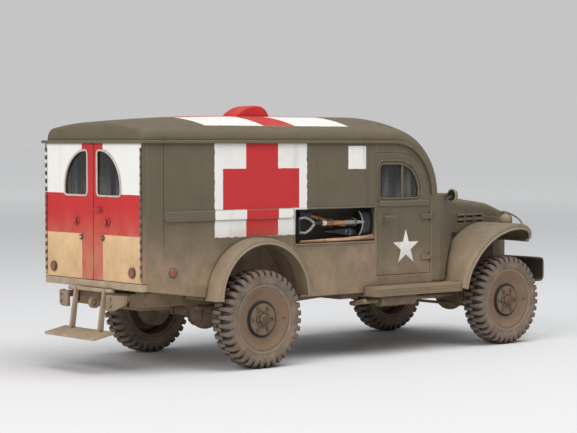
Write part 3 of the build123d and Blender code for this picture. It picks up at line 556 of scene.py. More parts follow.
# %% [markdown]
# ## Tools for small pieces
# Small fittings are round, bent from rod, or cut from sheet. Three helpers make those three kinds as closed
# meshes: one spins a profile, one runs a tube along a path, one thickens an outline. A seat is a matrix
# that says where a fitting stands and which way it points.


# %% Spin, sweep and plate
def seat(point, outward):
    turn = Vector(outward).to_track_quat("Z", "Y").to_matrix().to_4x4()
    return Matrix.Translation(Vector(point) * MM) @ turn


def join_rings(shape, rings, closed):
    count = len(rings[0])
    links = zip(rings, rings[1:] + rings[:1]) if closed else zip(rings, rings[1:])
    for near, far in links:
        for step in range(count):
            after = (step + 1) % count
            shape.faces.new((near[step], near[after], far[after], far[step]))
    if not closed:
        shape.faces.new(list(reversed(rings[0])))
        shape.faces.new(rings[-1])


def lathe(shape, profile, turns, place, closed=False):
    # Profile: radius and height in millimetres, spun about the seat's own axis
    rings = []
    for radius, height in profile:
        angles = [2 * math.pi * step / turns for step in range(turns)]
        points = [Vector((radius * math.cos(a), radius * math.sin(a), height)) * MM for a in angles]
        rings.append([shape.verts.new(place @ point) for point in points])
    join_rings(shape, rings, closed)


def sweep(shape, path, radius, sides=8, closed=False):
    # Path: points in millimetres; radius: one number, or one for each point
    points = [Vector(point) * MM for point in path]
    radii = radius if isinstance(radius, list) else [radius] * len(points)
    rings, across = [], None
    for index, point in enumerate(points):
        before = points[index - 1] if closed or index else point
        after = points[(index + 1) % len(points)] if closed or index + 1 < len(points) else point
        ahead = (after - before).normalized()
        across = ahead.orthogonal() if across is None else across - ahead * across.dot(ahead)
        across.normalize()
        other = ahead.cross(across)
        angles = [2 * math.pi * step / sides for step in range(sides)]
        spokes = [across * math.cos(a) + other * math.sin(a) for a in angles]
        rings.append([shape.verts.new(point + spoke * radii[index] * MM) for spoke in spokes])
    join_rings(shape, rings, closed)


def plate(shape, outline, thickness, place):
    # Outline: flat points in millimetres; the plate grows along the seat's own axis
    rings = []
    for height in (0.0, thickness):
        rings.append([shape.verts.new(place @ (Vector((x, y, height)) * MM)) for x, y in outline])
    join_rings(shape, rings, False)


print("mesh helpers", lathe.__name__, sweep.__name__, plate.__name__)

# %% [markdown]
# ## From mesh to piece
# A mesh belongs to the truck once it has a finish and a body to ride on, so that it moves when a wheel
# turns. Faces are made to look outwards, and edges that bend by more than 38 degrees stay crisp.


# %% From a mesh to a piece that rides
def piece(name, shape, material, body=BODY, soften=0.0, place=None):
    bmesh.ops.recalc_face_normals(shape, faces=shape.faces)
    mesh = bpy.data.meshes.new(name)
    shape.to_mesh(mesh)
    shape.free()
    mesh.shade_smooth()
    mesh.set_sharp_from_angle(angle=math.radians(38))
    mesh.materials.append(material)
    thing = bpy.data.objects.new(name, mesh)
    bpy.context.scene.collection.objects.link(thing)
    if place is not None:
        thing.matrix_world = place
    if soften:
        rounding = thing.modifiers.new("soft_edges", "BEVEL")
        rounding.width = soften * MM
        rounding.segments = 2
        rounding.limit_method = "ANGLE"
        rounding.angle_limit = math.radians(38)
    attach(thing, body)
    return thing


BOLT = [(0.5, 0.0), (0.5, 0.42), (0.4, 0.55), (0.05, 0.55)]
DOME = [(1.0, 0.0), (0.92, 0.32), (0.6, 0.6), (0.06, 0.7)]


def sized(profile, scale):
    return [(radius * scale, height * scale) for radius, height in profile]


print("profiles of", len(BOLT), "and", len(DOME), "points")

# %% [markdown]
# ## Tyres
# The tyres have blocky bars that reach from the middle of the tread over the shoulder, set half a step apart
# on the two sides, so mud drops out whichever way the wheel turns. A texture could fake them, but the bars
# show against the sky, so they are real geometry: one bar is drawn by its stations and copied round.

# %% Tyre measures
BARS, BAR_FLARE, BAR_SOFT, TYRE_TURNS = 36, 0.14, 0.13, 108
# Carcass: along the axle, radius
CARCASS = [
    (2.70, 8.20), (2.98, 8.32), (3.04, 8.62), (2.93, 8.74), (3.10, 8.90), (3.20, 9.10), (3.33, 9.60),
    (3.31, 10.20), (3.05, 10.80), (2.45, 11.10), (0.80, 11.20),
]
# Bar stations: along the axle, crest radius, root along the axle, root radius, half width
BAR_STATIONS = [
    (-0.30, 12.20, -0.30, 11.00, 0.42),
    (1.40, 12.25, 1.40, 11.00, 0.46),
    (2.45, 12.18, 2.20, 10.90, 0.52),
    (3.02, 11.80, 2.55, 10.60, 0.58),
    (3.30, 11.10, 2.75, 10.20, 0.62),
    (3.42, 10.40, 2.85, 9.90, 0.60),
    (3.36, 9.98, 2.85, 9.70, 0.50),
]
print("bars on each side", BARS, "carcass points", 2 * len(CARCASS))


# %% Draw one tyre
def round_axle(along, radius, turn):
    return Vector((radius * math.sin(turn), along, radius * math.cos(turn))) * MM


def tread_bar(shape, side, turn):
    rings = []
    for along, crest, root_along, root, half in BAR_STATIONS:
        lean, foot = half / crest, (half + BAR_FLARE) / root
        rings.append([
            shape.verts.new(round_axle(side * along, crest, turn - lean)),
            shape.verts.new(round_axle(side * along, crest, turn + lean)),
            shape.verts.new(round_axle(side * root_along, root, turn + foot)),
            shape.verts.new(round_axle(side * root_along, root, turn - foot)),
        ])
    join_rings(shape, rings, False)
    crests = [(ring[edge], after[edge]) for ring, after in zip(rings, rings[1:]) for edge in (0, 1)]
    crests += [(ring[0], ring[1]) for ring in (rings[0], rings[-1])]
    return [shape.edges.get(pair) for pair in crests]


def tyre_mesh():
    shape = bmesh.new()
    profile = [(radius, along) for along, radius in CARCASS]
    profile += [(radius, -along) for along, radius in reversed(CARCASS)]
    lathe(shape, profile, TYRE_TURNS, seat((0, 0, 0), (0, 1, 0)), closed=True)
    soft = []
    for side, shift in ((1, 0.0), (-1, 0.5)):
        for index in range(BARS):
            soft += tread_bar(shape, side, 2 * math.pi * (index + shift) / BARS)
    bmesh.ops.bevel(shape, geom=soft, offset=BAR_SOFT * MM, segments=2, profile=0.5, affect="EDGES")
    return shape


print("stations along a bar", len(BAR_STATIONS))

# %% [markdown]
# ## Tyre rubber
# The tyres are soft vinyl, dusted on their walls and darkened between the bars by a wash that follows
# ambient occlusion, so it is partly dark wash and partly painted shade; the bars' edges are lightened, partly
# as dry-brush and partly as painted highlight. The dust follows the distance from the axle, which the shader
# takes from the object's own coordinates, so it turns with the wheel.

# %% Dusty tyre rubber
# Radii in metres: where the wall's dust begins and is full, the moulded ring, half that ring's width
DUST_FROM, DUST_FULL, RING_R, RING_HALF = 0.0107, 0.0096, 0.0086, 0.00016


def dusty_rubber(name):
    material, tree, shader = new_material(name)
    place = object_place(tree)
    axes = split(tree, place)
    squares = [maths(tree, "POWER", axes[axis], 2.0) for axis in ("X", "Z")]
    reach = maths(tree, "SQRT", maths(tree, "ADD", *squares))
    paint = use_group(tree, MOTTLE, Colour=srgb(106, 94, 85), Contrast=0.5, Size=420.0)
    weathering_and_light = use_group(tree, EDGE_WEAR_AND_HIGHLIGHT, Amount=0.1, Width=0.0003)
    corners = use_group(tree, WASH_AND_SHADE, Reach=0.0016)
    side_dust = maths(tree, "MULTIPLY", ease(tree, reach, DUST_FROM, DUST_FULL), 0.55)
    patch = ease(tree, noise(tree, place, 330.0, 5.0), 0.3, 0.7)
    dust = maths(tree, "MULTIPLY", maths(tree, "ADD", side_dust, 0.3), patch)
    base = blend(tree, dust, paint["Colour"], srgb(146, 122, 100))
    off_ring = maths(tree, "ABSOLUTE", maths(tree, "SUBTRACT", reach, RING_R))
    ring = maths(tree, "SUBTRACT", RING_HALF, off_ring)
    ring = maths(tree, "MULTIPLY", ease(tree, ring, 0.0, RING_HALF / 2), 0.6)
    base = blend(tree, ring, base, srgb(176, 160, 140))
    # Bar edges lightened: partly dry-brushed, partly painted highlight
    base = blend(tree, maths(tree, "MULTIPLY", weathering_and_light["Edge"], 0.35), base, srgb(150, 134, 120))
    # Dark between the bars from ambient occlusion: partly wash, partly painted shade
    base = blend(tree, maths(tree, "MULTIPLY", corners["Mask"], 0.85), base, srgb(42, 36, 31))
    feed(tree, shader.inputs["Base Color"], base)
    shader.inputs["Roughness"].default_value = 0.88
    bump = tree.nodes.new("ShaderNodeBump")
    bump.inputs["Strength"].default_value = 0.3
    bump.inputs["Distance"].default_value = 0.0001
    feed(tree, bump.inputs["Height"], maths(tree, "ADD", paint["Grain"], patch))
    feed(tree, bump.inputs["Normal"], weathering_and_light["Soft normal"])
    feed(tree, shader.inputs["Normal"], bump.outputs[0])
    return material


tyre_rubber = dusty_rubber("dusty_rubber")
print("rubber", tyre_rubber.name)

# %% Fit five tyres
SPARE_AT = Vector((-4.9, 21.6, 30.5)) * MM
fit_tyres = [(body.replace("_wheel", ""), body, centre) for body, centre in WHEELS.items()]
for place_name, body, centre in fit_tyres:
    tyre = piece(f"lugged_tyre_{place_name}", tyre_mesh(), tyre_rubber, body,
                 place=Matrix.Translation(centre))
    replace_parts(tyre, f"tyre_{place_name}")
spare = piece("lugged_tyre_spare", tyre_mesh(), tyre_rubber, BODY,
              place=Matrix.Translation(SPARE_AT))
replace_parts(spare, "spare_tyre")
print("tyres", len(fit_tyres) + 1, "faces each", len(spare.data.polygons))

# %% [markdown]
# ## Wheel nuts and hubs
# Each disc is held by six nuts round a bolted hub flange with a domed cap. A deep groove divides the disc
# from its centre and fills with black grease, and a rubbed ring runs round the rim's flange.

# %% Groove black and wheel fittings
grease = matt_paint("black_grease", srgb(24, 21, 19), dust=0.0, ledges=0.0, wear=0.0, streaks=0.0, edge=0.1)
bright_rim = matt_paint(
    "rubbed_rim", srgb(160, 138, 114), dust=0.0, ledges=0.0, wear=0.3, streaks=0.0, edge=0.6,
)
hub_paint = matt_paint(
    "hub_rust", srgb(92, 70, 56), dust=0.0, ledges=0.0, wear=0.5, streaks=0.0, wash=1.0, rough=0.65,
)
FACE, HUB = 2.25, 3.0
NUT_CIRCLE, FLANGE_CIRCLE, FLANGE_TOP = 3.1, 1.75, FACE + 0.28
RIM_RADIUS, RIM_HEIGHT, RIM_BEAD = 8.22, 2.74, 0.17
# Profiles: radius, height
FLANGE = [(1.25, FACE), (2.15, FACE), (2.15, FACE + 0.18), (1.98, FLANGE_TOP), (1.25, FLANGE_TOP)]
HUB_CAP = [(1.28, HUB), (1.15, HUB + 0.14), (0.7, HUB + 0.23), (0.05, HUB + 0.25)]
GROOVE = [(3.98, 2.05), (3.98, 2.29), (4.1, 2.2), (4.62, 1.74), (4.62, 1.5)]
VALVE = [(6.3, 0, 2.0), (6.7, 0, 2.6), (7.0, 0, 2.7)]


def ring_points(count, radius, height):
    turns = [2 * math.pi * step / count for step in range(count)]
    return [(radius * math.cos(turn), radius * math.sin(turn), height) for turn in turns]


def wheel_fittings(shape):
    for point in ring_points(6, NUT_CIRCLE, FACE):
        lathe(shape, sized(BOLT, 0.95), 6, seat(point, (0, 0, 1)))
    lathe(shape, FLANGE, 32, Matrix(), closed=True)
    for point in ring_points(8, FLANGE_CIRCLE, FLANGE_TOP):
        lathe(shape, sized(BOLT, 0.4), 6, seat(point, (0, 0, 1)))
    lathe(shape, HUB_CAP, 24, Matrix())
    sweep(shape, VALVE, 0.16, 6)


def add_wheel_fittings(place_name, body, centre, outward):
    place = Matrix.Translation(centre) @ Vector(outward).to_track_quat("Z", "Y").to_matrix().to_4x4()
    nuts, groove, rim = bmesh.new(), bmesh.new(), bmesh.new()
    wheel_fittings(nuts)
    lathe(groove, GROOVE, 64, Matrix(), closed=True)
    turns = [math.pi * step / 4 for step in range(8)]
    bead = [(RIM_RADIUS + RIM_BEAD * math.cos(a), RIM_HEIGHT + RIM_BEAD * math.sin(a)) for a in turns]
    lathe(rim, bead, 96, Matrix(), closed=True)
    piece(f"hub_nuts_{place_name}", nuts, hub_paint, body, place=place)
    piece(f"hub_groove_{place_name}", groove, grease, body, place=place)
    piece(f"rim_flange_{place_name}", rim, bright_rim, body, place=place)


for place_name, body, centre in fit_tyres:
    add_wheel_fittings(place_name, body, centre, (0, -1 if centre.y < 0 else 1, 0))
add_wheel_fittings("spare", BODY, SPARE_AT, (0, 1, 0))
print("wheel fittings", len(fit_tyres) + 1)

# %% [markdown]
# ## Rear doors
# Long piano hinges run down both outer edges: their knuckles belong to the door and to the body in turn, so
# half of them are white and half olive, and the edge looks toothed. Pale rubber frames the panes. Red
# reflectors, two small catches and an overlap strip finish the doors.

# %% Piano hinges
REAR_X, BODY_HALF, GUTTER_Z, SILL_Z = -67.4, 21.35, 56.2, 20.4
KNUCKLE, KNUCKLE_R, KNUCKLE_GAP = 1.0, 0.33, 0.04
HINGE_Y, HINGE_FOOT, HINGE_ENDS = 20.78, 2.4, 3.0


def piano_hinges(parity):
    shape = bmesh.new()
    count = int((GUTTER_Z - SILL_Z - HINGE_ENDS) / KNUCKLE)
    barrel = [(KNUCKLE_R, KNUCKLE_GAP), (KNUCKLE_R, KNUCKLE - KNUCKLE_GAP)]
    for side in (-1, 1):
        for index in range(parity, count, 2):
            foot = (REAR_X - 0.1, side * HINGE_Y, SILL_Z + HINGE_FOOT + index * KNUCKLE)
            lathe(shape, barrel, 10, seat(foot, (0, 0, 1)))
    return shape


piece("hinge_knuckles_door", piano_hinges(0), rear_paint)
piece("hinge_knuckles_body", piano_hinges(1), matt_paint("hinge_olive", srgb(70, 63, 50), dust=0.3))
print("knuckles every", KNUCKLE, "mm")

# %% [markdown]
# ## Window frames and catches
# The rear windows have one corner that bulges in an arc and others that are just rounded. Typing every point
# would hide the few numbers that matter, so one helper draws an arc through three points and another rounds
# corners. A thin tube along the outline is the rubber frame.


# %% Curved outlines
def arc_through(start, middle, end, steps):
    (ax, ay), (bx, by), (cx, cy) = start, middle, end
    scale = 2 * (ax * (by - cy) + bx * (cy - ay) + cx * (ay - by))
    a2, b2, c2 = ax * ax + ay * ay, bx * bx + by * by, cx * cx + cy * cy
    mid_x = (a2 * (by - cy) + b2 * (cy - ay) + c2 * (ay - by)) / scale
    mid_y = (a2 * (cx - bx) + b2 * (ax - cx) + c2 * (bx - ax)) / scale
    radius = math.hypot(ax - mid_x, ay - mid_y)
    first, last = math.atan2(ay - mid_y, ax - mid_x), math.atan2(cy - mid_y, cx - mid_x)
    span = (last - first + math.pi) % (2 * math.pi) - math.pi
    turns = [first + span * step / steps for step in range(steps + 1)]
    return [(mid_x + radius * math.cos(turn), mid_y + radius * math.sin(turn)) for turn in turns]


def soft_corners(points, radius, steps=5):
    result = []
    for index, point in enumerate(points):
        here = Vector(point)
        back, ahead = Vector(points[index - 1]) - here, Vector(points[(index + 1) % len(points)]) - here
        if back.angle(-ahead) < math.radians(25):
            result.append(tuple(here))
            continue
        start = here + back.normalized() * min(radius, back.length * 0.45)
        end = here + ahead.normalized() * min(radius, ahead.length * 0.45)
        for step in range(steps + 1):
            share = step / steps
            result.append(tuple(start.lerp(here, share).lerp(here.lerp(end, share), share)))
    return result


print("outline helpers", arc_through.__name__, soft_corners.__name__)


# %% Pane frames, overlap strip and catches
def rear_pane_outline(side):
    low_y, high_y, low_z, high_z = 2.1, 12.3, GUTTER_Z - 13.2, GUTTER_Z - 2.0
    shoulder = arc_through((high_y, low_z + 2.4), (high_y - 2.4, high_z - 3.0), (low_y + 1.8, high_z), 18)
    points = soft_corners([(low_y, low_z), (high_y, low_z), *shoulder, (low_y, high_z)], 1.2)
    return [(REAR_X - 0.02, side * y, z) for y, z in points]


gasket = matt_paint("pale_rubber", srgb(214, 204, 194), dust_top=50.0, dust=0.25, ledges=0.3, wear=0.6)
frames = bmesh.new()
for side in (-1, 1):
    sweep(frames, rear_pane_outline(side), 0.27, 8, closed=True)
piece("rear_pane_frames", frames, gasket)
# Outlines drawn across and up; a plate on them grows backwards
BACKWARDS = Matrix(((0, 0, -1, 0), (1, 0, 0, 0), (0, 1, 0, 0), (0, 0, 0, 1)))
OVERLAP = [(-0.55, 22.4), (0.35, 22.4), (0.35, 55.8), (-0.55, 55.8)]
CATCH_Y, CATCH_Z, CATCH_R = 4.75, 32.7, 0.62
strip, catches = bmesh.new(), bmesh.new()
plate(strip, OVERLAP, 0.16, Matrix.Translation((REAR_X * MM, 0, 0)) @ BACKWARDS)
piece("rear_door_strip", strip, rear_paint, soften=0.05)
for side in (-1, 1):
    turns = [math.radians(40 + 70 * step) * side for step in range(5)]
    ring = [(side * CATCH_Y + CATCH_R * math.cos(a), CATCH_Z + CATCH_R * math.sin(a)) for a in turns]
    sweep(catches, [(REAR_X, *ring[0])] + [(REAR_X - 0.3, y, z) for y, z in ring], 0.17, 6)
dark_steel = matt_paint("dark_steel", srgb(58, 55, 52), dust=0.15, dust_top=60.0, wear=0.2, rough=0.5)
piece("rear_door_catches", catches, dark_steel)
print("rear fittings placed")

# %% Reflectors and knobs
REFLECTORS = [
    ((REAR_X - 0.4, -17.2, SILL_Z + 4.4), (-1, 0, 0)), ((REAR_X - 0.4, 17.2, SILL_Z + 4.4), (-1, 0, 0)),
    ((-58.5, -BODY_HALF, 24.6), (0, -1, 0)), ((-58.5, BODY_HALF, 24.6), (0, 1, 0)),
]
lens_red = matt_paint(
    "reflector_red", srgb(140, 50, 44), dust_top=60.0, dust=0.35, ledges=0.2, wear=0.1, streaks=0.0,
    rough=0.35,
)
# Profiles: radius, height
LENS_DOME = [(1.08, 0.02), (1.02, 0.22), (0.7, 0.4), (0.05, 0.48)]
LENS_CUP = [(1.06, -0.1), (1.24, -0.1), (1.24, 0.12), (1.16, 0.2), (1.06, 0.18)]
KNOB = [
    (1.05, 0.0), (1.0, 0.25), (0.5, 0.35), (0.48, 0.75), (0.8, 0.85), (0.86, 1.15), (0.6, 1.38), (0.05, 1.45),
]
lenses, cups, knobs = bmesh.new(), bmesh.new(), bmesh.new()
for point, outward in REFLECTORS:
    lathe(lenses, LENS_DOME, 24, seat(point, outward))
    lathe(cups, LENS_CUP, 24, seat(point, outward), closed=True)
piece("reflector_lenses", lenses, lens_red)
piece("reflector_cups", cups, dark_steel)
for side in (-1, 1):
    lathe(knobs, sized(KNOB, 0.95), 20, seat((REAR_X, side * 6.6, 36.6), (-1, 0, 0)))
piece("rear_door_knobs", knobs, rear_paint)
print("reflectors", len(REFLECTORS), "knobs", 2)

# %% [markdown]
# ## Cab doors, mirrors and wipers
# A rounded bead frames each door's glass, and a lock sits under the handle. The hinge barrels stand at the
# front shut line. The round mirrors face the rear: a pale rim and a dull glass. Two wipers hang from the
# windscreen's upper edge and follow its curve.

# %% Door beads, locks and hinge barrels
DOOR_REAR_X, DOOR_FRONT_X, COWL_Z, TURN_X = 8.4, 27.75, 42.0, 14.4
# Growth past the pane, bead radius
PANE_BEADS = [(0.15, 0.2), (1.05, 0.26)]
BARREL = [(0.36, 0.0), (0.44, 0.1), (0.44, 2.1), (0.36, 2.2)]
BARREL_FEET = (24.1, 35.1)


def door_pane_outline(side, grow):
    low_x, high_x = DOOR_REAR_X + 1.0 - grow, DOOR_FRONT_X - 4.25 + grow
    low_z, high_z, radius = COWL_Z - 0.6 - grow, GUTTER_Z - 5.9 + grow, 7.4 + grow
    turns = [math.pi / 2 * step / 12 for step in range(13)]
    front = [(high_x - radius * (1 - math.cos(t)), high_z - radius * (1 - math.sin(t))) for t in turns]
    points = soft_corners([(low_x, low_z), (high_x, low_z), *front, (low_x, high_z)], 1.5 + grow)
    return [(x, side * (BODY_HALF + 0.02), z) for x, z in points]


beads, locks, barrels = bmesh.new(), bmesh.new(), bmesh.new()
for side in (-1, 1):
    for grow, radius in PANE_BEADS:
        sweep(beads, door_pane_outline(side, grow), radius, 8, closed=True)
    lock_at = (DOOR_REAR_X + 2.2, side * BODY_HALF, COWL_Z - 7.3)
    lathe(locks, sized(DOME, 0.42), 12, seat(lock_at, (0, side, 0)))
    for z in BARREL_FEET:
        foot = (DOOR_FRONT_X + 0.2, side * (BODY_HALF + 0.3), z)
        lathe(barrels, BARREL, 14, seat(foot, (0, 0, 1)))
piece("door_pane_beads", beads, door_paint)
piece("door_locks", locks, dark_steel)
piece("door_hinge_barrels", barrels, olive)
print("door fittings placed")

# %% Mirrors and wipers
MIRROR_AT = (37.4, 20.3, 41.6)
# Profiles: radius, height
MIRROR_GLASS = [(1.42, 0.02), (1.36, 0.09), (0.8, 0.12), (0.05, 0.13)]
MIRROR_RIM = [(1.38, 0.0), (1.78, -0.2), (1.84, 0.0), (1.74, 0.2), (1.5, 0.26)]
# Radius of the windscreen's curve under the blade, and the blade's first angle and sweep in degrees
WIPER_REACH, WIPER_TOP, WIPER_SWEEP = 20.9, 35, 21


def dull_mirror(name):
    material, tree, shader = new_material(name)
    shader.inputs["Metallic"].default_value = 0.9
    film = ease(tree, noise(tree, object_place(tree), 700.0, 4.0), 0.3, 0.8)
    feed(tree, shader.inputs["Base Color"], blend(tree, film, srgb(120, 118, 112), srgb(96, 90, 78)))
    feed(tree, shader.inputs["Roughness"], maths(tree, "ADD", maths(tree, "MULTIPLY", film, 0.3), 0.18))
    return material


glasses, rims, wipers = bmesh.new(), bmesh.new(), bmesh.new()
for side in (-1, 1):
    face = seat((MIRROR_AT[0], side * MIRROR_AT[1], MIRROR_AT[2]), (-1, 0, 0))
    lathe(glasses, MIRROR_GLASS, 32, face)
    lathe(rims, MIRROR_RIM, 32, face, closed=True)
    blade = []
    for share in (0.0, 0.25, 0.5, 0.75, 1.0):
        turn = math.radians(WIPER_TOP - WIPER_SWEEP * share)
        x, z = TURN_X + WIPER_REACH * math.cos(turn), COWL_Z + WIPER_REACH * math.sin(turn)
        blade.append((x, side * (9.0 - 3.4 * share), z))
    sweep(wipers, blade, [0.2, 0.16, 0.14, 0.14, 0.12], 6)
    lathe(wipers, sized(DOME, 0.55), 12, seat(blade[0], (0.75, 0, 0.65)))
piece("mirror_glasses", glasses, dull_mirror("dull_mirror"))
piece("mirror_rims", rims, bright_rim)
piece("wipers", wipers, dark_steel)
print("mirrors and wipers placed")

# %% [markdown]
# ## Roof skin
# The roof is one pressed sheet: it rounds over at the rear and sweeps down in a quarter turn to the
# windscreen. Its outline matters against the background, so we loft it ourselves: half a section is drawn
# from gutter to crown, rings of it follow the roof, and an inner skin gives it a wall. Two rounded prisms
# then cut the windscreen's openings with a Boolean.

# %% Sections and rings of the roof
ROOF_Z, ROOF_SHEET, REAR_ROUND = 63.0, 1.1, 1.6
# Distance from the rear where the section is full; towards the rear it sinks and flattens
FULL_FROM = 43.0


def roof_section(along, inset):
    # Half a section from gutter to crown: across, up
    rest = max(0.0, 1 - along / FULL_FROM) ** 2
    half, crown = BODY_HALF - inset, ROOF_Z - 1.9 * rest - inset
    roll, lean = 3.2 - 0.6 * rest - inset, math.radians(18 - 10 * rest)
    wide = (half - roll * (1 - math.sin(lean))) / math.sin(lean)
    start = crown - wide * (1 - math.cos(lean)) - roll * math.cos(lean)
    bends = [(math.pi / 2 - lean) * step / 6 for step in range(7)]
    points = [(half - roll + roll * math.cos(a), start + roll * math.sin(a)) for a in bends]
    turns = [lean * (1 - step / 12) for step in range(1, 13)]
    points += [(wide * math.sin(t), crown - wide + wide * math.cos(t)) for t in turns]
    return [(half, GUTTER_Z)] + points


def roof_ring(along, inset, shrink):
    half = roof_section(along, inset)
    slim, low = 1 - shrink / half[0][0], 1 - shrink / (half[-1][1] - GUTTER_Z)
    points = [(y * slim, GUTTER_Z + (z - GUTTER_Z) * low) for y, z in half]
    return [(-y, z) for y, z in points] + points[-2::-1]


def roof_rings(inset, radius):
    rings = []
    for step in range(8):
        turn = math.pi / 2 * step / 7
        along = inset + radius * (1 - math.cos(turn))
        ring = roof_ring(along, inset, radius * (1 - math.sin(turn)))
        rings.append([(REAR_X + along, y, z) for y, z in ring])
    for along in range(6, 82, 4):
        rings.append([(REAR_X + along, y, z) for y, z in roof_ring(along, inset, 0.0)])
    for step in range(19):
        lift, reach = math.cos(math.pi / 2 * step / 18), math.sin(math.pi / 2 * step / 18)
        ring = roof_ring(FULL_FROM, inset, 0.0)
        rings.append([(TURN_X + (z - COWL_Z) * reach, y, COWL_Z + (z - COWL_Z) * lift) for y, z in ring])
    return rings


print("roof rings", len(roof_rings(0.0, REAR_ROUND)))


# %% Skins, rims and the windscreen's openings
def strip_faces(shape, near, far):
    for step in range(len(near) - 1):
        shape.faces.new((near[step], near[step + 1], far[step + 1], far[step]))


def roof_shell(shape):
    skins = []
    for inset, radius in ((0.0, REAR_ROUND), (ROOF_SHEET, REAR_ROUND - ROOF_SHEET)):
        skins.append([[shape.verts.new(Vector(p) * MM) for p in ring] for ring in roof_rings(inset, radius)])
    for skin in skins:
        for near, far in zip(skin, skin[1:]):
            strip_faces(shape, near, far)
        shape.faces.new(skin[0])
    outer, inner = skins
    for end in (0, -1):
        strip_faces(shape, [ring[end] for ring in outer], [ring[end] for ring in inner])
    strip_faces(shape, outer[-1], inner[-1])
    shape.faces.new((outer[0][0], outer[0][-1], inner[0][-1], inner[0][0]))


def cut_openings(thing, shape):
    bmesh.ops.recalc_face_normals(shape, faces=shape.faces)
    mesh = bpy.data.meshes.new("opening")
    shape.to_mesh(mesh)
    shape.free()
    knife = bpy.data.objects.new("opening", mesh)
    bpy.context.scene.collection.objects.link(knife)
    hole = thing.modifiers.new("openings", "BOOLEAN")
    hole.operation = "DIFFERENCE"
    hole.solver = "EXACT"
    hole.object = knife
    graph = bpy.context.evaluated_depsgraph_get()
    thing.data = bpy.data.meshes.new_from_object(thing.evaluated_get(graph))
    thing.modifiers.clear()
    bpy.data.objects.remove(knife)


# Outlines drawn across and up; a plate on them grows forwards
CROSSWISE = Matrix(((0, 0, 1, 0), (1, 0, 0, 0), (0, 1, 0, 0), (0, 0, 0, 1)))
SCREEN = [(1.1, 44.0), (16.8, 44.0), (16.8, 52.6), (1.1, 52.6)]
skin, openings = bmesh.new(), bmesh.new()
roof_shell(skin)
for side in (-1, 1):
    corners = soft_corners([(side * y, z) for y, z in SCREEN], 1.6)
    plate(openings, corners, 19.0, Matrix.Translation((0.0244, 0, 0)) @ CROSSWISE)
roof_skin = piece("roof_skin", skin, roof_paint)
cut_openings(roof_skin, openings)
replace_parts(roof_skin, "roof")
print("roof skin faces", len(roof_skin.data.polygons))

# %% [markdown]
# ## Ventilator
# A scoop stands on the roof, cut from a curved side profile: long and gentle at the rear, steep in front.
# Its upper edges catch the light, so they are rounded by a small bevel.

# %% Scoop from its side profile
# Along, up
SCOOP = [
    (-24.8, 62.0), (-24.6, 62.9), (-23.7, 63.8), (-22.4, 64.6), (-21.0, 65.2), (-19.4, 65.6), (-17.7, 65.75),
    (-16.4, 65.6), (-15.2, 65.1), (-14.3, 64.3), (-13.75, 63.3), (-13.6, 62.0),
]
SCOOP_WIDE = 6.2
# Outlines drawn along and up; a plate on them grows to the right
UPRIGHT = Matrix(((1, 0, 0, 0), (0, 0, -1, 0), (0, 1, 0, 0), (0, 0, 0, 1)))
scoop = bmesh.new()
plate(scoop, SCOOP, SCOOP_WIDE, Matrix.Translation((0, SCOOP_WIDE / 2 * MM, 0)) @ UPRIGHT)
scoop_piece = piece("roof_scoop", scoop, vent_paint, soften=0.25)
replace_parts(scoop_piece, "roof_ventilator")
print("scoop", len(SCOOP), "profile points")

# %% [markdown]
# ## Fenders
# Each front fender is a rolled sheet: flat on top, turned over at its outer edge, and dipped at the front
# like the tip of a spoon. A grid of points follows the fender's line; a second grid just under it gives the
# sheet its thickness. The rear fenders and their wheel houses turn one section half round over the wheel. A
# wired bead closes each outer edge; its pale colour is partly rubbed paint and partly painted highlight.


# %% A sheet from a grid of points
def sheet(shape, rows, thickness):
    grid = [[Vector(point) for point in row] for row in rows]
    last_row, last_step = len(grid) - 1, len(grid[0]) - 1
    under = []
    for index, row in enumerate(grid):
        before, after = grid[max(index - 1, 0)], grid[min(index + 1, last_row)]
        line = []
        for step, point in enumerate(row):
            across = row[min(step + 1, last_step)] - row[max(step - 1, 0)]
            line.append(point - (after[step] - before[step]).cross(across).normalized() * thickness)
        under.append(line)
    skins = [[[shape.verts.new(point * MM) for point in row] for row in skin] for skin in (grid, under)]
    for skin in skins:
        for near, far in zip(skin, skin[1:]):
            strip_faces(shape, near, far)
    top, low = skins
    for end in (0, -1):
        strip_faces(shape, top[end], low[end])
        strip_faces(shape, [row[end] for row in top], [row[end] for row in low])


def smooth_line(points, steps):
    # A curve through all points, each given by any number of values
    ends = [points[0], *points, points[-1]]
    result = []
    for before, start, end, after in zip(ends, ends[1:], ends[2:], ends[3:]):
        for step in range(steps):
            t = step / steps
            point = []
            for p, q, r, s in zip(before, start, end, after):
                bend, twist = 2 * p - 5 * q + 4 * r - s, 3 * q - p - 3 * r + s
                point.append(0.5 * (2 * q + (r - p) * t + bend * t * t + twist * t ** 3))
            result.append(tuple(point))
    return result + [tuple(points[-1])]


print("sheet helpers", sheet.__name__, smooth_line.__name__)

# %% Fender lines and sections
AXLE_X, NOSE_X, BONNET_REAR_X = 53.7, 68.8, 43.3
# The sheet, where the outer edge begins to roll, and how deep its lip hangs
FENDER_SHEET, ROLL_FROM, LIP_DROP = 0.6, 1.1, 1.4
# Along from the axle, height, outer half width, forward reach of the inner part
FENDER_LINE = [
    (-18.3, 16.6, 27.0, 0.0), (-16.5, 21.6, 27.0, 0.0), (-12.1, 27.1, 27.0, 0.0), (-6.7, 30.9, 27.0, 0.0),
    (-0.7, 33.0, 27.0, 0.0), (4.2, 33.5, 26.9, 0.6), (7.9, 32.8, 26.6, 1.8), (10.1, 31.1, 26.1, 2.5),
    (10.8, 29.3, 25.4, 2.8), (10.7, 28.3, 24.3, 2.9),
]
# Along, half width of cowl and bonnet
NOSE_PLAN = [(28.6, 21.35), (31.6, 21.35), (35.2, 19.65), (43.3, 14.2), (62.0, 10.9), (68.8, 9.7)]


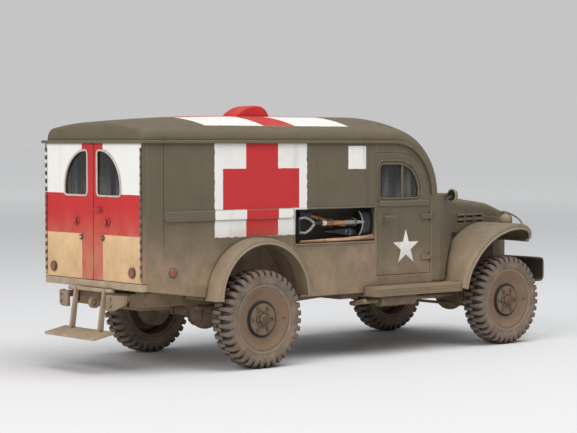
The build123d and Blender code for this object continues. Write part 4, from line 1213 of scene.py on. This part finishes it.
def nose_half(x):
    for (low, wide), (high, slim) in zip(NOSE_PLAN, NOSE_PLAN[1:]):
        if x <= high:
            return wide + (slim - wide) * max(0.0, (x - low) / (high - low))
    return NOSE_PLAN[-1][1]


def fender_rows(side):
    line = smooth_line(FENDER_LINE, 4)
    rows = []
    for index, (along, height, outer, forward) in enumerate(line):
        before, after = line[max(index - 1, 0)], line[min(index + 1, len(line) - 1)]
        way = Vector((after[0] - before[0], after[1] - before[1])).normalized()
        inner = nose_half(AXLE_X + along + forward) - 0.4
        flat = [(inner + (outer - ROLL_FROM - inner) * step / 6, 0.0) for step in range(7)]
        bends = [math.pi / 2 * step / 6 for step in range(1, 7)]
        roll = [(outer - ROLL_FROM + math.sin(a), 1 - math.cos(a)) for a in bends]
        row = []
        for wide, drop in flat + roll + [(outer - 0.1, LIP_DROP)]:
            lead = forward * (1 - ((wide - inner) / (outer - inner)) ** 2)
            row.append((AXLE_X + along + lead + way.y * drop, side * wide, height - way.x * drop))
        rows.append(row)
    return rows


print("fender rows", len(fender_rows(1)))

# %% Roll both front fenders
fenders, fender_beads = bmesh.new(), bmesh.new()
for side in (-1, 1):
    rows = fender_rows(side)
    sheet(fenders, rows, side * FENDER_SHEET)
    edge = [row[-1] for row in rows] + rows[-1][-2::-1]
    sweep(fender_beads, edge, 0.3, 8)
fender_piece = piece("rolled_fenders", fenders, fender_paint)
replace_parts(fender_piece, "front_fenders")
# Pale olive for the beads and lamp bowls: partly rubbed paint, partly painted highlight
rubbed_olive = matt_paint("rubbed_olive", srgb(150, 134, 110), dust=0.2, dust_top=36.0, streaks=0.0)
piece("fender_beads", fender_beads, rubbed_olive)
print("fender faces", len(fender_piece.data.polygons))

# %% Rear fenders and wheel houses
ARCH_X, ARCH_Z, HOUSE_Y = -33.2, 17.3, 13.0
# Across, radius: the fender runs outwards to its lip, the house inwards to its wall
ARCH_SECTION = [
    (20.3, 15.15), (22.5, 15.15), (24.7, 15.12), (25.5, 14.95), (26.0, 14.6), (26.2, 14.15), (26.2, 13.75),
]
HOUSE_SECTION = [
    (20.4, 15.1), (16.5, 15.1), (HOUSE_Y + 0.5, 15.1), (HOUSE_Y, 14.6), (HOUSE_Y, 8.0), (HOUSE_Y, 0.6),
]


def arch_rows(section, side):
    rows = []
    for step in range(49):
        along, up = -math.cos(math.pi * step / 48), math.sin(math.pi * step / 48)
        rows.append([(ARCH_X + radius * along, side * y, ARCH_Z + radius * up) for y, radius in section])
    return rows


arches, houses, arch_beads = bmesh.new(), bmesh.new(), bmesh.new()
for side in (-1, 1):
    rows = arch_rows(ARCH_SECTION, side)
    sheet(arches, rows, side * FENDER_SHEET)
    sheet(houses, arch_rows(HOUSE_SECTION, side), side * FENDER_SHEET)
    sweep(arch_beads, [row[-1] for row in rows], 0.26, 8)
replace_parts(piece("arched_fenders", arches, fender_paint), "rear_fenders")
piece("wheel_houses", houses, chassis)
piece("arch_beads", arch_beads, rubbed_olive)
print("arches", 2, "houses", 2)

# %% [markdown]
# ## Nose
# Hoods stand over the louvre slots in the bonnet's sides, and a bead runs down the bonnet's hinge line. The
# headlamps are small bowls with domed glass in a pressed ring, and a bent rod guards each of them.

# %% Bonnet bead and louvre hoods
# Share of the bonnet's length, drop below the cowl
CROWN = [(0.0, 0.4), (0.4, 1.5), (0.733, 2.7), (0.87, 3.85), (1.0, 5.0)]
LOUVRE_ROWS, LOUVRE_COLUMNS = 2, 3
bead = bmesh.new()
crown_line = [(BONNET_REAR_X + share * (NOSE_X - BONNET_REAR_X), 0, COWL_Z - drop) for share, drop in CROWN]
sweep(bead, crown_line, 0.3, 8)
piece("bonnet_bead", bead, olive)
hoods = bmesh.new()
for side in (-1, 1):
    for row in range(LOUVRE_ROWS):
        for column in range(LOUVRE_COLUMNS):
            x, z = BONNET_REAR_X + 2.8 + 4.4 * column, COWL_Z - 7.7 + 1.4 * row
            ends = [(x - 0.1, side * nose_half(x), z), (x + 3.5, side * nose_half(x + 3.4), z)]
            sweep(hoods, ends, 0.27, 8)
piece("louvre_hoods", hoods, olive)
print("bonnet bead and", 2 * LOUVRE_ROWS * LOUVRE_COLUMNS, "louvre hoods")


# %% Headlamps and guards
def lamp_glass(name):
    material, tree, shader = new_material(name)
    shader.inputs["Transmission Weight"].default_value = 0.7
    shader.inputs["IOR"].default_value = 1.45
    place = object_place(tree)
    rib = maths(tree, "SINE", maths(tree, "MULTIPLY", split(tree, place)["Y"], 9000.0))
    film = ease(tree, noise(tree, place, 500.0, 4.0), 0.35, 0.8)
    feed(tree, shader.inputs["Base Color"], blend(tree, film, srgb(214, 214, 206), srgb(170, 152, 126)))
    feed(tree, shader.inputs["Roughness"], maths(tree, "ADD", maths(tree, "MULTIPLY", film, 0.3), 0.08))
    bump = tree.nodes.new("ShaderNodeBump")
    bump.inputs["Distance"].default_value = 0.0001
    feed(tree, bump.inputs["Height"], rib)
    feed(tree, shader.inputs["Normal"], bump.outputs[0])
    return material


LAMP_X, LAMP_Y, LAMP_Z, STEM_X, STEM_Z = 65.6, 14.6, 33.9, 64.4, 31.6
# Profiles: radius, height
BOWL = [(0.06, -2.5), (0.7, -2.4), (1.25, -2.05), (1.6, -1.4), (1.72, -0.6), (1.75, 0.0), (0.06, 0.02)]
STEM = [(1.1, 0.0), (0.9, 0.5), (0.7, 0.9), (0.7, 1.4)]
LAMP_DOME = [(1.6, 0.04), (1.5, 0.3), (1.0, 0.55), (0.06, 0.66)]
LAMP_RING = [(1.55, -0.25), (1.88, -0.25), (1.88, 0.12), (1.72, 0.26), (1.55, 0.2)]
# Along, across, up
GUARD = [
    (67.4, 9.4, 35.8), (68.4, 10.6, 36.1), (69.0, 13.4, 35.3), (69.1, 16.0, 34.0), (68.6, 17.8, 32.6),
    (67.0, 19.4, 31.2), (64.6, 20.4, 30.4),
]
bowls, glass, lamp_rings, guards = bmesh.new(), bmesh.new(), bmesh.new(), bmesh.new()
for side in (-1, 1):
    front = seat((LAMP_X, side * LAMP_Y, LAMP_Z), (1, 0, 0))
    lathe(bowls, BOWL, 28, front)
    lathe(bowls, STEM, 16, seat((STEM_X, side * LAMP_Y, STEM_Z), (0, 0, 1)))
    lathe(glass, LAMP_DOME, 28, front)
    lathe(lamp_rings, LAMP_RING, 28, front, closed=True)
    sweep(guards, [(x, side * y, z) for x, y, z in smooth_line(GUARD, 4)], 0.27, 8)
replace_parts(piece("headlamp_bowls", bowls, rubbed_olive), "headlamps")
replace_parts(piece("headlamp_guards", guards, fender_paint), "lamp_guards")
piece("headlamp_glass", glass, lamp_glass("lamp_glass"))
piece("headlamp_rings", lamp_rings, olive)
print("headlamps", 2, "guards", 2)

# %% [markdown]
# ## Bumpers and running boards
# The front bumper is a thin channel, open at its ends and at the back. The rear bumperettes are flat bars
# bent forward at their outer ends. The sheet helper makes both. The running boards only lack the ridges
# that keep a boot from slipping, and those are thin rods let into their faces.

# %% Front channel and rear bars
# Along, up
CHANNEL = [
    (72.0, 22.8), (73.3, 22.8), (73.9, 22.65), (74.28, 22.25), (74.4, 21.7), (74.4, 17.8), (74.28, 17.25),
    (73.9, 16.85), (73.3, 16.7), (72.2, 16.7),
]
CHANNEL_Y = (-20.4, -10.0, 0.0, 10.0, 20.4)
# Along, across, lower edge
BAR_LINE = [
    (-69.3, 8.4, 15.2), (-69.4, 10.0, 15.2), (-69.35, 11.4, 15.3), (-68.9, 12.7, 15.8), (-68.0, 13.7, 16.5),
    (-66.8, 14.2, 17.2),
]
BAR_TOP, BAR_SHEET = 19.1, 0.9
# Horns between frame and bumper: along, length, lower edge, upper edge
HORNS = [(71.8, 2.25, 17.1, 19.1), (-68.6, 4.4, 17.4, 19.0)]
HORN_IN, HORN_OUT = 10.3, 11.9
channel, horns, bars = bmesh.new(), bmesh.new(), bmesh.new()
sheet(channel, [[(x, y, z) for x, z in CHANNEL] for y in CHANNEL_Y], 0.42)
for side in (-1, 1):
    line = smooth_line(BAR_LINE, 3)
    rows = [[(x, side * y, low + (BAR_TOP - low) * step / 4) for step in range(5)] for x, y, low in line]
    sheet(bars, rows, side * -BAR_SHEET)
    for x, length, low, high in HORNS:
        corners = [(HORN_IN, low), (HORN_OUT, low), (HORN_OUT, high), (HORN_IN, high)]
        place = Matrix.Translation((x * MM, 0, 0)) @ CROSSWISE
        plate(horns, [(side * y, z) for y, z in corners], length, place)
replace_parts(piece("bumper_channel", channel, dark_channel), "front_bumper")
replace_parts(piece("rear_bars", bars, dusty_olive, soften=0.15), "rear_bumpers")
piece("bumper_horns", horns, chassis, soften=0.1)
print("channel and bars bent")

# %% Ridges along the running boards
# Ridges on the board's face by height, and on its top by distance from the middle
BOARD_Y, FACE_RIDGES = 26.0, (16.3, 16.95, 17.6)
BOARD_Z, TOP_RIDGES = 18.1, (22.4, 23.4, 24.4, 25.4)
ridges = bmesh.new()
for side in (-1, 1):
    for z in FACE_RIDGES:
        sweep(ridges, [(4.1, side * BOARD_Y, z), (35.5, side * BOARD_Y, z)], 0.16, 6)
    for y in TOP_RIDGES:
        sweep(ridges, [(4.4, side * y, BOARD_Z), (35.2, side * y, BOARD_Z)], 0.14, 6)
piece("board_ridges", ridges, dusty_olive)
print("board ridges", 2 * (len(FACE_RIDGES) + len(TOP_RIDGES)))

# %% [markdown]
# ## Pioneer tools
# A shovel, an axe and a mattock hang in the open locker. Wood and steel differ in every way that light can
# show, so each tool is drawn from its own parts: turned handles, forged heads, and a dished blade.

# %% Wood and forged steel
LOCKER_X, LOCKER_Z, LOCKER_BACK = -20.2, 30.0, -15.15
LOCKER_END, LOCKER_TOP = 7.7, 39.2


def turned_wood(name, colour):
    material, tree, shader = new_material(name)
    place = object_place(tree)
    fibre = noise(tree, stretched(tree, place, (90.0, 2600.0, 2600.0)), 1.0, 4.0)
    blotch = noise(tree, place, 500.0, 4.0)
    weathering_and_light = use_group(tree, WASH_AND_SHADE, Reach=0.0009)
    base = blend(tree, ease(tree, fibre, 0.35, 0.7), colour, srgb(120, 84, 52))
    base = blend(tree, maths(tree, "MULTIPLY", ease(tree, blotch, 0.5, 0.75), 0.5), base, srgb(96, 74, 56))
    # Ambient occlusion darkens the wood where the tools shelter each other: partly dark wash, partly painted
    # shade
    base = blend(tree, maths(tree, "MULTIPLY", weathering_and_light["Mask"], 0.6), base, GRIME_AND_SHADE)
    feed(tree, shader.inputs["Base Color"], base)
    feed(tree, shader.inputs["Roughness"], maths(tree, "ADD", maths(tree, "MULTIPLY", fibre, 0.3), 0.45))
    bump = tree.nodes.new("ShaderNodeBump")
    bump.inputs["Strength"].default_value = 0.3
    bump.inputs["Distance"].default_value = 0.00005
    feed(tree, bump.inputs["Height"], fibre)
    feed(tree, shader.inputs["Normal"], bump.outputs[0])
    return material


def forged_steel(name, colour):
    material, tree, shader = new_material(name)
    weathering_and_light = use_group(tree, EDGE_WEAR_AND_HIGHLIGHT, Amount=0.2, Width=0.0003)
    paint = use_group(tree, MOTTLE, Colour=colour, Contrast=0.6, Size=600.0)
    # Edges lightened towards pale steel: partly rubbed bare metal, partly painted highlight
    base = blend(tree, maths(tree, "MULTIPLY", weathering_and_light["Edge"], 0.85), paint["Colour"], srgb(190, 190, 186))
    feed(tree, shader.inputs["Base Color"], base)
    shader.inputs["Metallic"].default_value = 0.55
    shine = maths(tree, "MULTIPLY", paint["Grain"], 0.3)
    feed(tree, shader.inputs["Roughness"], maths(tree, "ADD", shine, 0.3))
    feed(tree, shader.inputs["Normal"], weathering_and_light["Soft normal"])
    return material


def in_locker(along, up, depth):
    # Depth runs inwards from the side's face; deeper tools hang a little further forward
    return (LOCKER_X + along + 0.84 * depth, -BODY_HALF + depth, LOCKER_Z + up)


wood = turned_wood("orange_wood", srgb(196, 132, 78))
pale_wood = turned_wood("pale_wood", srgb(206, 160, 126))
steel = forged_steel("forged_steel", srgb(56, 58, 62))
print("tool finishes", wood.name, pale_wood.name, steel.name)

# %% Handles
SHOVEL_DEPTH, AXE_DEPTH, LIP_DEPTH, SHAFT_UP = 1.0, 2.3, 0.75, 5.25
# Along the locker, up, radius
SHAFT = [(10.0, SHAFT_UP, 0.5), (12.0, SHAFT_UP, 0.6), (15.0, SHAFT_UP, 0.62), (17.6, SHAFT_UP, 0.5)]
AXE_HANDLE = [
    (3.6, 7.35, 0.5), (6.0, 7.1, 0.5), (9.0, 6.25, 0.48), (12.0, 5.5, 0.45), (15.0, 4.9, 0.46),
    (17.2, 4.6, 0.56),
]
LIP_HANDLE = [(2.0, 0.62, 0.42), (9.0, 0.7, 0.5), (18.0, 0.85, 0.55), (24.0, 1.05, 0.66), (27.0, 1.15, 0.76)]


def turned(shape, line, depth, sides):
    path = [in_locker(along, up, depth) for along, up, _ in line]
    sweep(shape, path, [radius for _, _, radius in line], sides)


handles, lip_handle = bmesh.new(), bmesh.new()
turned(handles, SHAFT, SHOVEL_DEPTH, 12)
turned(handles, AXE_HANDLE, AXE_DEPTH, 12)
turned(lip_handle, LIP_HANDLE, LIP_DEPTH, 12)
tool_handles = piece("tool_handles", handles, wood)
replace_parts(tool_handles, "pioneer_tools")
piece("mattock_handle", lip_handle, pale_wood)
print("handles", 3)


# %% Heads, sockets and the dished blade
# Blade rows from the socket to the tip: along, low edge, high edge, how far the middle is set in
BLADE = [
    (22.2, 1.8, 8.1, 1.3), (23.0, 1.7, 8.2, 0.6), (24.6, 1.7, 8.2, 0.0), (26.0, 1.9, 8.0, 0.0),
    (26.9, 2.8, 7.0, 0.0),
]
# Along the locker, up, radius
SOCKET = [(17.0, SHAFT_UP, 0.58), (20.0, SHAFT_UP, 0.62), (24.2, SHAFT_UP, 0.3)]
NECK = [(6.4, SHAFT_UP, 0.4), (9.4, SHAFT_UP, 0.5)]
GRIP = [(1.5, 3.2, 0.36), (1.5, 4.9, 0.42), (1.5, 6.6, 0.36)]
LOWER_ARM = [(1.5, 3.1, 0.34), (3.6, 2.9, 0.34), (5.2, 3.7, 0.36), (6.6, 5.1, 0.4)]
UPPER_ARM = [(1.5, 6.7, 0.34), (3.6, 6.9, 0.34), (5.2, 6.3, 0.36), (6.6, 5.4, 0.4)]
# Along the locker, up
AXE_HEAD = [(0.9, 8.5), (1.1, 6.1), (2.6, 6.7), (4.5, 6.5), (4.6, 8.2), (2.6, 8.0)]
MATTOCK = [
    (9.6, 3.1), (13.0, 3.3), (16.4, 3.6), (18.9, 3.5), (20.6, 2.8), (22.6, 1.6),
    (22.4, 1.2), (20.0, 1.8), (18.6, 1.7), (16.4, 1.9), (13.0, 2.5), (9.6, 2.9),
]
# Radius, height
EYE = [(0.62, 0.0), (1.05, 0.0), (1.05, 1.5), (0.62, 1.5)]


def blade_row(along, low, high, notch):
    row = []
    for step in range(9):
        share = step / 8
        bow = 1 - (2 * share - 1) ** 2
        depth = SHOVEL_DEPTH - 0.6 * (bow - 0.5)
        row.append(in_locker(along + notch * bow, low + share * (high - low), depth))
    return row


def shovel_blade(shape):
    grid = [[shape.verts.new(Vector(point) * MM) for point in blade_row(*row)] for row in BLADE]
    for near, far in zip(grid, grid[1:]):
        strip_faces(shape, near, far)


def flat_in_locker(depth):
    return Matrix.Translation(Vector(in_locker(0, 0, depth)) * MM) @ UPRIGHT


heads, blade, bright = bmesh.new(), bmesh.new(), bmesh.new()
shovel_blade(blade)
turned(bright, SOCKET, SHOVEL_DEPTH, 12)
sweep(bright, blade_row(*BLADE[0]), 0.2, 6)
turned(heads, NECK, SHOVEL_DEPTH, 10)
turned(heads, GRIP, SHOVEL_DEPTH, 10)
for arm in (LOWER_ARM, UPPER_ARM):
    turned(bright, arm, SHOVEL_DEPTH, 8)
plate(heads, AXE_HEAD, 1.3, flat_in_locker(AXE_DEPTH + 0.65))
plate(heads, MATTOCK, 1.1, flat_in_locker(AXE_DEPTH + 0.9))
lathe(heads, EYE, 24, seat(in_locker(17.7, 2.65, AXE_DEPTH + 0.9), (0, -1, 0)), closed=True)
piece("tool_heads", heads, steel, soften=0.1)
piece("shovel_socket", bright, forged_steel("rubbed_steel", srgb(150, 152, 154)))
blade_piece = piece("shovel_blade", blade, steel)
thick = blade_piece.modifiers.new("sheet", "SOLIDIFY")
thick.thickness = 0.3 * MM
print("heads and blade forged")

# %% Ferrule, straps and the locker's rim
COLLAR = [(9.2, SHAFT_UP, 0.6), (9.4, SHAFT_UP, 0.66), (10.4, SHAFT_UP, 0.66), (10.6, SHAFT_UP, 0.6)]
# Along the locker, up, depth
STRAPS = [(12.4, 5.3, SHOVEL_DEPTH), (20.6, 5.3, SHOVEL_DEPTH), (8.0, 6.5, AXE_DEPTH)]
ferrule, straps, rim = bmesh.new(), bmesh.new(), bmesh.new()
turned(ferrule, COLLAR, SHOVEL_DEPTH, 12)
for along, up, depth in STRAPS:
    x, y, z = in_locker(along, up, depth)
    loop = [(LOCKER_BACK, 1.0), (y + 0.3, 0.95), (y - 0.6, 0.55), (y - 0.72, 0.0),
            (y - 0.6, -0.55), (y + 0.3, -0.95), (LOCKER_BACK, -1.0)]
    sweep(straps, [(x, out, z + off) for out, off in loop], 0.2, 6)
lip_y = -BODY_HALF - 0.02
corners = [(LOCKER_X, LOCKER_Z), (LOCKER_END, LOCKER_Z), (LOCKER_END, LOCKER_TOP), (LOCKER_X, LOCKER_TOP)]
sweep(rim, [(x, lip_y, z) for x, z in soft_corners(corners, 0.3, 2)], 0.24, 6, closed=True)
leather = matt_paint("dark_leather", srgb(62, 48, 38), dust=0.2, dust_top=50.0, wear=0.3, rough=0.6)
piece("shovel_ferrule", ferrule, gasket)
piece("tool_straps", straps, leather)
piece("locker_rim", rim, wall_paint)
# The locker's inside is painted darker than the wall: painted shade for the recess
paint_nodes(matt_paint("locker_dark", srgb(70, 64, 52), dust=0.2, ledges=0.5), "tool_locker")
print("locker finished")

# %% [markdown]
# ## Bolts, rivets, covers and clamps
# Rivets line the frame rails, bolts hold the bumper, and each axle has a bolted cover on its differential.
# U-shaped bolts clamp the springs to the axles, and a bar holds the spare wheel. Each is a few faces, but
# together they give the small truck its scale. Loops over small tables place them.

# %% Fasteners from tables
REAR_AXLE_X, HUB_Z = -34.1, 12.25
FRAME_Y, RIVET_ROWS, RIVET_COUNT, RIVET_STEP = 12.0, (16.3, 18.5), 21, 6.2
# Across, up
FRONT_BOLTS = [(10.6, 18.4), (10.6, 20.4), (11.6, 18.4), (11.6, 20.4)]
REAR_BOLTS = [(10.8, 18.2), (10.8, 16.4)]
COVERS = [((REAR_AXLE_X - 3.3, -2.0, HUB_Z), (-1, 0, 0)), ((AXLE_X + 3.3, -3.4, HUB_Z), (1, 0, 0))]
# Radius, height
LID = [(2.3, -0.2), (3.1, -0.2), (3.1, 0.2), (2.9, 0.35), (2.3, 0.35)]
rivets, bolts, covers = bmesh.new(), bmesh.new(), bmesh.new()
for side in (-1, 1):
    for step in range(RIVET_COUNT):
        for z in RIVET_ROWS:
            point = (-60 + RIVET_STEP * step, side * FRAME_Y, z)
            lathe(rivets, sized(DOME, 0.28), 8, seat(point, (0, side, 0)))
    for y, z in FRONT_BOLTS:
        lathe(bolts, sized(BOLT, 0.6), 6, seat((74.4, side * y, z), (1, 0, 0)))
    for y, z in REAR_BOLTS:
        lathe(bolts, sized(BOLT, 0.6), 6, seat((-69.6, side * y, z), (-1, 0, 0)))
for point, outward in COVERS:
    stand = seat(point, outward)
    lathe(covers, LID, 32, stand, closed=True)
    for place in ring_points(8, 2.75, 0.35):
        lathe(covers, sized(BOLT, 0.45), 6, stand @ seat(place, (0, 0, 1)))
piece("frame_rivets", rivets, chassis)
piece("bumper_bolts", bolts, dusty_olive)
piece("axle_covers", covers, chassis)
print("rivets", 2 * RIVET_COUNT * len(RIVET_ROWS), "bolts", 2 * len(FRONT_BOLTS + REAR_BOLTS))
print("covers", len(COVERS))

# %% Spring clamps and the spare wheel's clamp
# Across, up
U_BOLT = [(9.9, 11.0), (9.9, 14.6), (10.2, 15.0), (12.0, 15.0), (12.3, 14.6), (12.3, 11.0)]
# From the spare wheel's hub: along, outwards, up, radius
SPARE_BAR = [(-3.6, -0.6, 0, 0.5), (-2.6, 0, 0, 0.55), (2.6, 0, 0, 0.55), (3.6, -0.6, 0, 0.5)]
clamps, spare_clamp = bmesh.new(), bmesh.new()
for x in (AXLE_X, REAR_AXLE_X):
    for side in (-1, 1):
        for shift in (-1.55, 1.55):
            sweep(clamps, [(x + shift, side * y, z) for y, z in U_BOLT], 0.26, 6)
hub = SPARE_AT / MM + Vector((0, HUB + 0.1, 0))
path = [hub + Vector((along, out, up)) for along, out, up, _ in SPARE_BAR]
sweep(spare_clamp, path, [radius for *_, radius in SPARE_BAR], 8)
lathe(spare_clamp, sized(BOLT, 1.5), 6, seat(hub + Vector((0, 0.3, 0)), (0, 1, 0)))
piece("spring_clamps", clamps, chassis)
piece("spare_clamp", spare_clamp, olive)
print("clamps placed")

# %% [markdown]
# ## Floor and light
# A pale floor and broad soft lamps show a small object best. Far from the truck the floor glows faintly,
# until it matches the air behind it, so no hard horizon shows, while the light on the truck stays plain.


# %% Stage and lamps
def build_stage():
    bpy.ops.mesh.primitive_plane_add(size=40.0, location=(0, 0, 0))
    floor = bpy.context.active_object
    floor.name = "studio_floor"
    material, tree, shader = new_material("pale_floor")
    shader.inputs["Base Color"].default_value = srgb(226, 226, 226)
    shader.inputs["Roughness"].default_value = 0.7
    axes = split(tree, object_place(tree))
    squares = [maths(tree, "POWER", axes[axis], 2.0) for axis in ("X", "Y")]
    reach = maths(tree, "SQRT", maths(tree, "ADD", *squares))
    far = ease(tree, reach, 0.25, 1.6)
    feed(tree, shader.inputs["Emission Color"], blend(tree, far, (0, 0, 0, 1), (0.272, 0.272, 0.268, 1)))
    shader.inputs["Emission Strength"].default_value = 1.0
    floor.data.materials.append(material)


def build_lamp(name, place, size, power):
    lamp = bpy.data.lights.new(name, "AREA")
    lamp.size = size
    lamp.energy = power
    holder = bpy.data.objects.new(name, lamp)
    bpy.context.scene.collection.objects.link(holder)
    holder.location = place
    holder.rotation_euler = (Vector((0, 0, 0.03)) - Vector(place)).to_track_quat("-Z", "Y").to_euler()


def build_air():
    world = bpy.data.worlds.new("studio_air")
    bpy.context.scene.world = world
    world.use_nodes = True
    tree = world.node_tree
    seen = tree.nodes.new("ShaderNodeLightPath").outputs["Is Camera Ray"]
    back = tree.nodes["Background"]
    feed(tree, back.inputs["Color"], blend(tree, seen, (0.35, 0.358, 0.37, 1), (0.56, 0.56, 0.56, 1)))
    back.inputs["Strength"].default_value = 1.0


build_stage()
build_lamp("top_softbox", (0.1, -0.25, 0.75), 0.7, 5.0)
build_lamp("rear_softbox", (-0.75, -0.2, 0.42), 0.5, 3.6)
build_air()
bpy.context.scene.view_settings.view_transform = "Standard"
print("stage ready")

# %% [markdown]
# Finish must not change the truck's size.

print("scene done")
